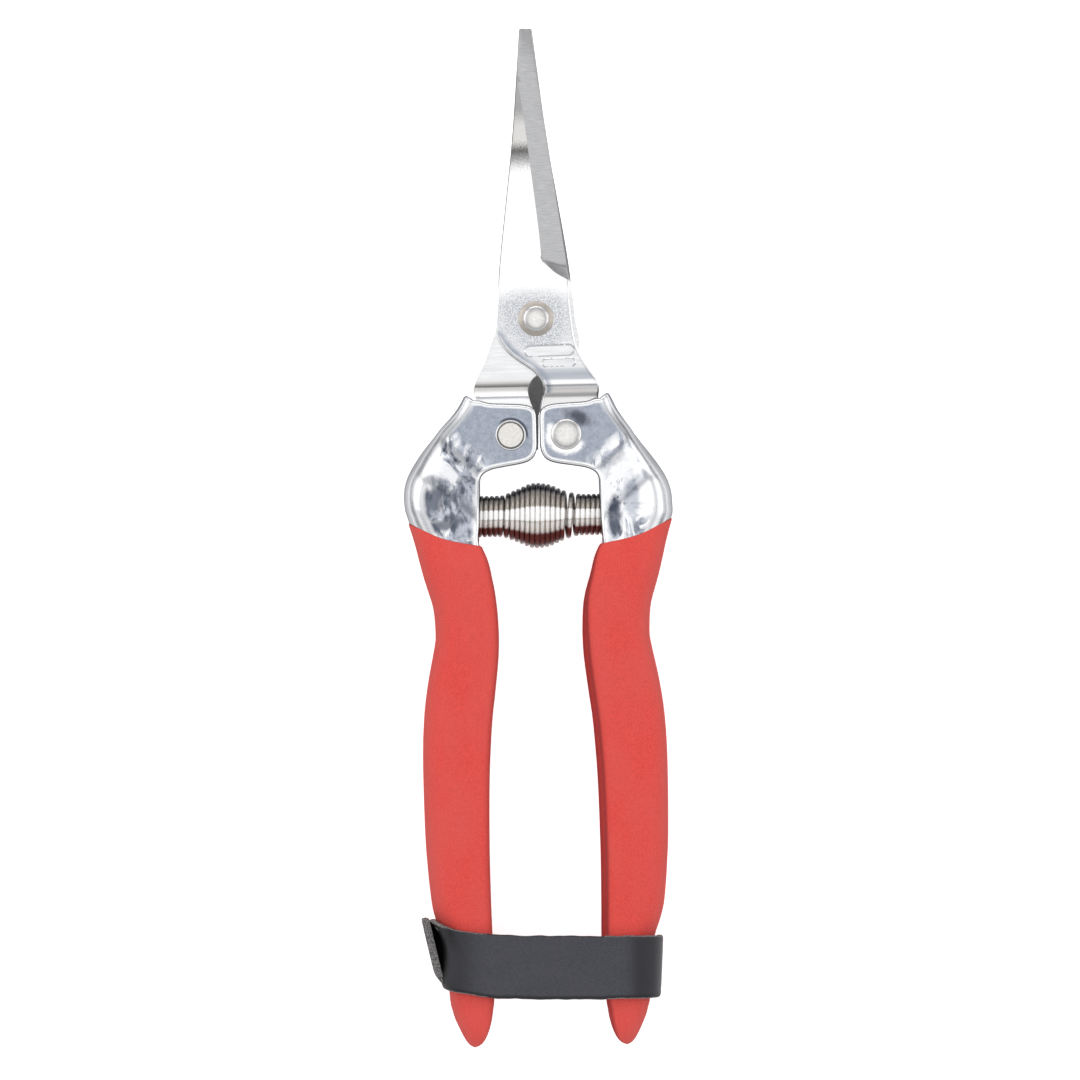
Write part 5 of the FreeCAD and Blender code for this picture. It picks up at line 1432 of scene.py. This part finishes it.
ZT = BLADE_GAP + BLADE_T
dome = lambda r, z0, z1, n=10: [(r * math.cos(math.pi / 2 * i / n), z0 + (z1 - z0) * math.sin(math.pi / 2 * i / n)) for i in range(n + 1)]
pr = [(0, -ZT - 1.25)] + dome(2.95, -ZT - 0.35, -ZT - 1.25)[::-1][1:] + [(2.95, -ZT - 0.02), (2.10, -ZT), (2.10, ZT + 0.49), (2.42, ZT + 0.49), (2.47, ZT + 0.54), (2.47, ZT + 0.76)] + dome(2.40, ZT + 0.84, ZT + 1.34)
show(sharpen(lathe(rounded(pr, 0.06)).mesh("rivet_pivot"), 40), "left_half", ["pivot_rivet"], M_RIVET)
pw = [(2.14, ZT + 0.21), (2.14, ZT + 0.49), (2.55, ZT + 0.49), (3.27, ZT + 0.24), (3.30, ZT + 0.04), (3.02, ZT + 0.04), (2.14, ZT + 0.21)]
show(sharpen(lathe(rounded(pw, 0.05)).mesh("washer_pivot"), 40), "left_half", ["pivot_washer"], M_WASHER)
LZ = LUG_H
rv = [(0, -LZ - 0.75)] + [(2.24, -LZ - 0.75), (2.335, -LZ - 0.66), (2.335, -LZ - 0.10), (2.50, -LZ - 0.10), (2.56, -LZ - 0.34), (2.80, -LZ - 0.28), (2.92, -LZ - 0.02), (1.90, -LZ), (1.90, LZ), (2.90, LZ), (2.925, LZ + 0.22)] + dome(2.90, LZ + 0.27, LZ + 0.85)
show(sharpen(lathe(rounded(rv, 0.08), at=RIVET).mesh("rivet_right"), 40), "right_half", ["right_handle_rivet"], M_RIVET)
show(sharpen(lathe(rounded(rv, 0.08), at=RIVET).mesh("rivet_left", turn=True), 40), "left_half", ["left_handle_rivet"], M_RIVET_L)

sp = spring()
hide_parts("spring")
sp.data.materials.append(M_WIRE)

st = sharpen(strap().mesh("strap_loop"), 50)
show(st, "strap", ["strap"], M_LEATHER)
st.data.materials.append(M_RAW)
for p in st.data.polygons:
    c = Vector(p.center) / MM
    side = abs(p.normal.y) > 0.55 and c.z > 0 and (c.x < -11.5 or c.x > 10.5)
    if side or (p.normal.z > 0.75 and c.x < -18.4 and c.z > 3.0 and c.z < 5.4):
        p.material_index = 1

# ---------------------------------------------------------------- stage, light, camera
low = min(CAD_BOX[0][2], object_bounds()[0][2])
bpy.ops.mesh.primitive_grid_add(x_subdivisions=2, y_subdivisions=2, size=4.0, location=(0, 0, low - 0.0002))
floor = bpy.context.object
floor.name = "floor"
F = Nodes("floor_pale")
fn = F.noise(F.co.outputs["Object"], 3.0, 2.0, 0.5)
fc = F.mix(fn, rgb(0.93, 0.93, 0.93), rgb(0.95, 0.95, 0.95))
up = F.math("SUBTRACT", 1.0, F("ShaderNodeNewGeometry").outputs["Backfacing"])  # seen through from below
floor.data.materials.append(F.set(Base_Color=fc, Roughness=0.9, Alpha=up, Emission_Color=fc, Emission_Strength=0.75))
# a dark card on the floor under the deep slit between the tangs, a painted shadow for the shade seen through the slit;
# it shrinks away once the handles swing apart
ring = [(-0.2, -9.0), (0.9, -10.4), (1.7, -12.4), (1.72, -13.6), (1.42, -14.9), (0.9, -16.1), (0.34, -17.2), (0.10, -18.0), (0.05, -20.0), (-0.10, -24.4), (-0.52, -24.4), (-0.46, -20.0), (-0.60, -18.0), (-0.95, -17.2), (-1.6, -15.8), (-2.1, -14.3), (-2.2, -12.6), (-1.8, -10.8), (-1.0, -9.4)]
cm = bpy.data.meshes.new("slit_shadow_card")
cm.from_pydata([(x * MM, (y + 16.6) * MM, 0.0) for x, y in ring], [], [list(range(len(ring)))[::-1]])
card = bpy.data.objects.new("slit_shadow_card", cm)
bpy.context.scene.collection.objects.link(card)
card.location = (0.0, (PIVOT_Y - 16.6) * MM, low - 0.0001)
C = Nodes("slit_painted_shadow")
up = C.math("SUBTRACT", 1.0, C("ShaderNodeNewGeometry").outputs["Backfacing"])
card.data.materials.append(C.set(Base_Color=rgb(0.17, 0.165, 0.165), Roughness=0.9, Alpha=up))
for i in (0, 1):
    fcv = card.driver_add("scale", i)
    fcv.driver.type = "SUM"
    var = fcv.driver.variables.new()
    var.type = "TRANSFORMS"
    var.targets[0].id = frame["bodies"]["right_half"]
    var.targets[0].transform_type = "ROT_Z"
    var.targets[0].transform_space = "WORLD_SPACE"
    for m in list(fcv.modifiers):
        fcv.modifiers.remove(m)
    while len(fcv.keyframe_points):
        fcv.keyframe_points.remove(fcv.keyframe_points[0])
    for t, k in ((0.0, 1.0), (0.03, 0.0)):
        kp = fcv.keyframe_points.insert(t, k)
        kp.interpolation = "LINEAR"

sc = bpy.context.scene
world = bpy.data.worlds.new("studio")
sc.world = world
world.use_nodes = True
wt = world.node_tree
bg = next(n for n in wt.nodes if n.type == "BACKGROUND")
tc = wt.nodes.new("ShaderNodeTexCoord")
sx = wt.nodes.new("ShaderNodeSeparateXYZ")
wt.links.new(tc.outputs["Generated"], sx.inputs[0])
ramp = wt.nodes.new("ShaderNodeValToRGB")
wt.links.new(sx.outputs["Z"], ramp.inputs[0])
el = ramp.color_ramp.elements
el[0].position, el[0].color = 0.0, (0.50, 0.50, 0.50, 1)
el[1].position, el[1].color = 1.0, (1.0, 1.0, 1.0, 1)
for p, c in ((0.10, (0.10, 0.10, 0.11, 1)), (0.32, (0.16, 0.16, 0.18, 1)), (0.42, (0.85, 0.85, 0.86, 1)), (0.62, (0.80, 0.80, 0.81, 1)), (0.74, (0.36, 0.37, 0.39, 1)), (0.90, (0.42, 0.43, 0.45, 1)), (0.965, (0.95, 0.95, 0.95, 1))):
    e = el.new(p)
    e.color = c
wt.links.new(ramp.outputs[0], bg.inputs["Color"])
bg.inputs["Strength"].default_value = 1.22


def area_light(name, loc, target, size, power, size_y=None, color=(1, 1, 1)):
    d = bpy.data.lights.new(name, "AREA")
    d.energy, d.color = power, color
    d.shape = "RECTANGLE"
    d.size, d.size_y = size, size_y or size
    o = bpy.data.objects.new(name, d)
    sc.collection.objects.link(o)
    o.location = loc
    o.rotation_euler = (Vector(target) - Vector(loc)).to_track_quat("-Z", "Y").to_euler()
    return o


area_light("key_left", (-0.80, 0.30, 0.62), (0, 0, 0), 0.80, 1.9, 1.00)
area_light("fill_right", (0.85, 0.10, 0.55), (0, 0, 0), 0.80, 1.5, 1.00)
area_light("top_back", (0.0, 0.95, 0.60), (0, 0, 0), 1.00, 1.5, 0.60)

cam = bpy.data.cameras.new("photo_view")
co = bpy.data.objects.new("photo_view", cam)
sc.collection.objects.link(co)
VIEW_X, VIEW_Y, SPAN, DIST = -0.12, -41.4 + PIVOT_Y, 202.2, 1500.0
co.location = (VIEW_X * MM, VIEW_Y * MM, DIST * MM)
co.rotation_euler = (0, 0, math.radians(-1.2))
cam.sensor_width = 36.0
cam.lens = 36.0 * DIST / SPAN
cam.clip_start, cam.clip_end = 0.05, 20.0
sc.camera = co
sc.view_settings.view_transform = "Standard"
sc.view_settings.exposure = 0.0
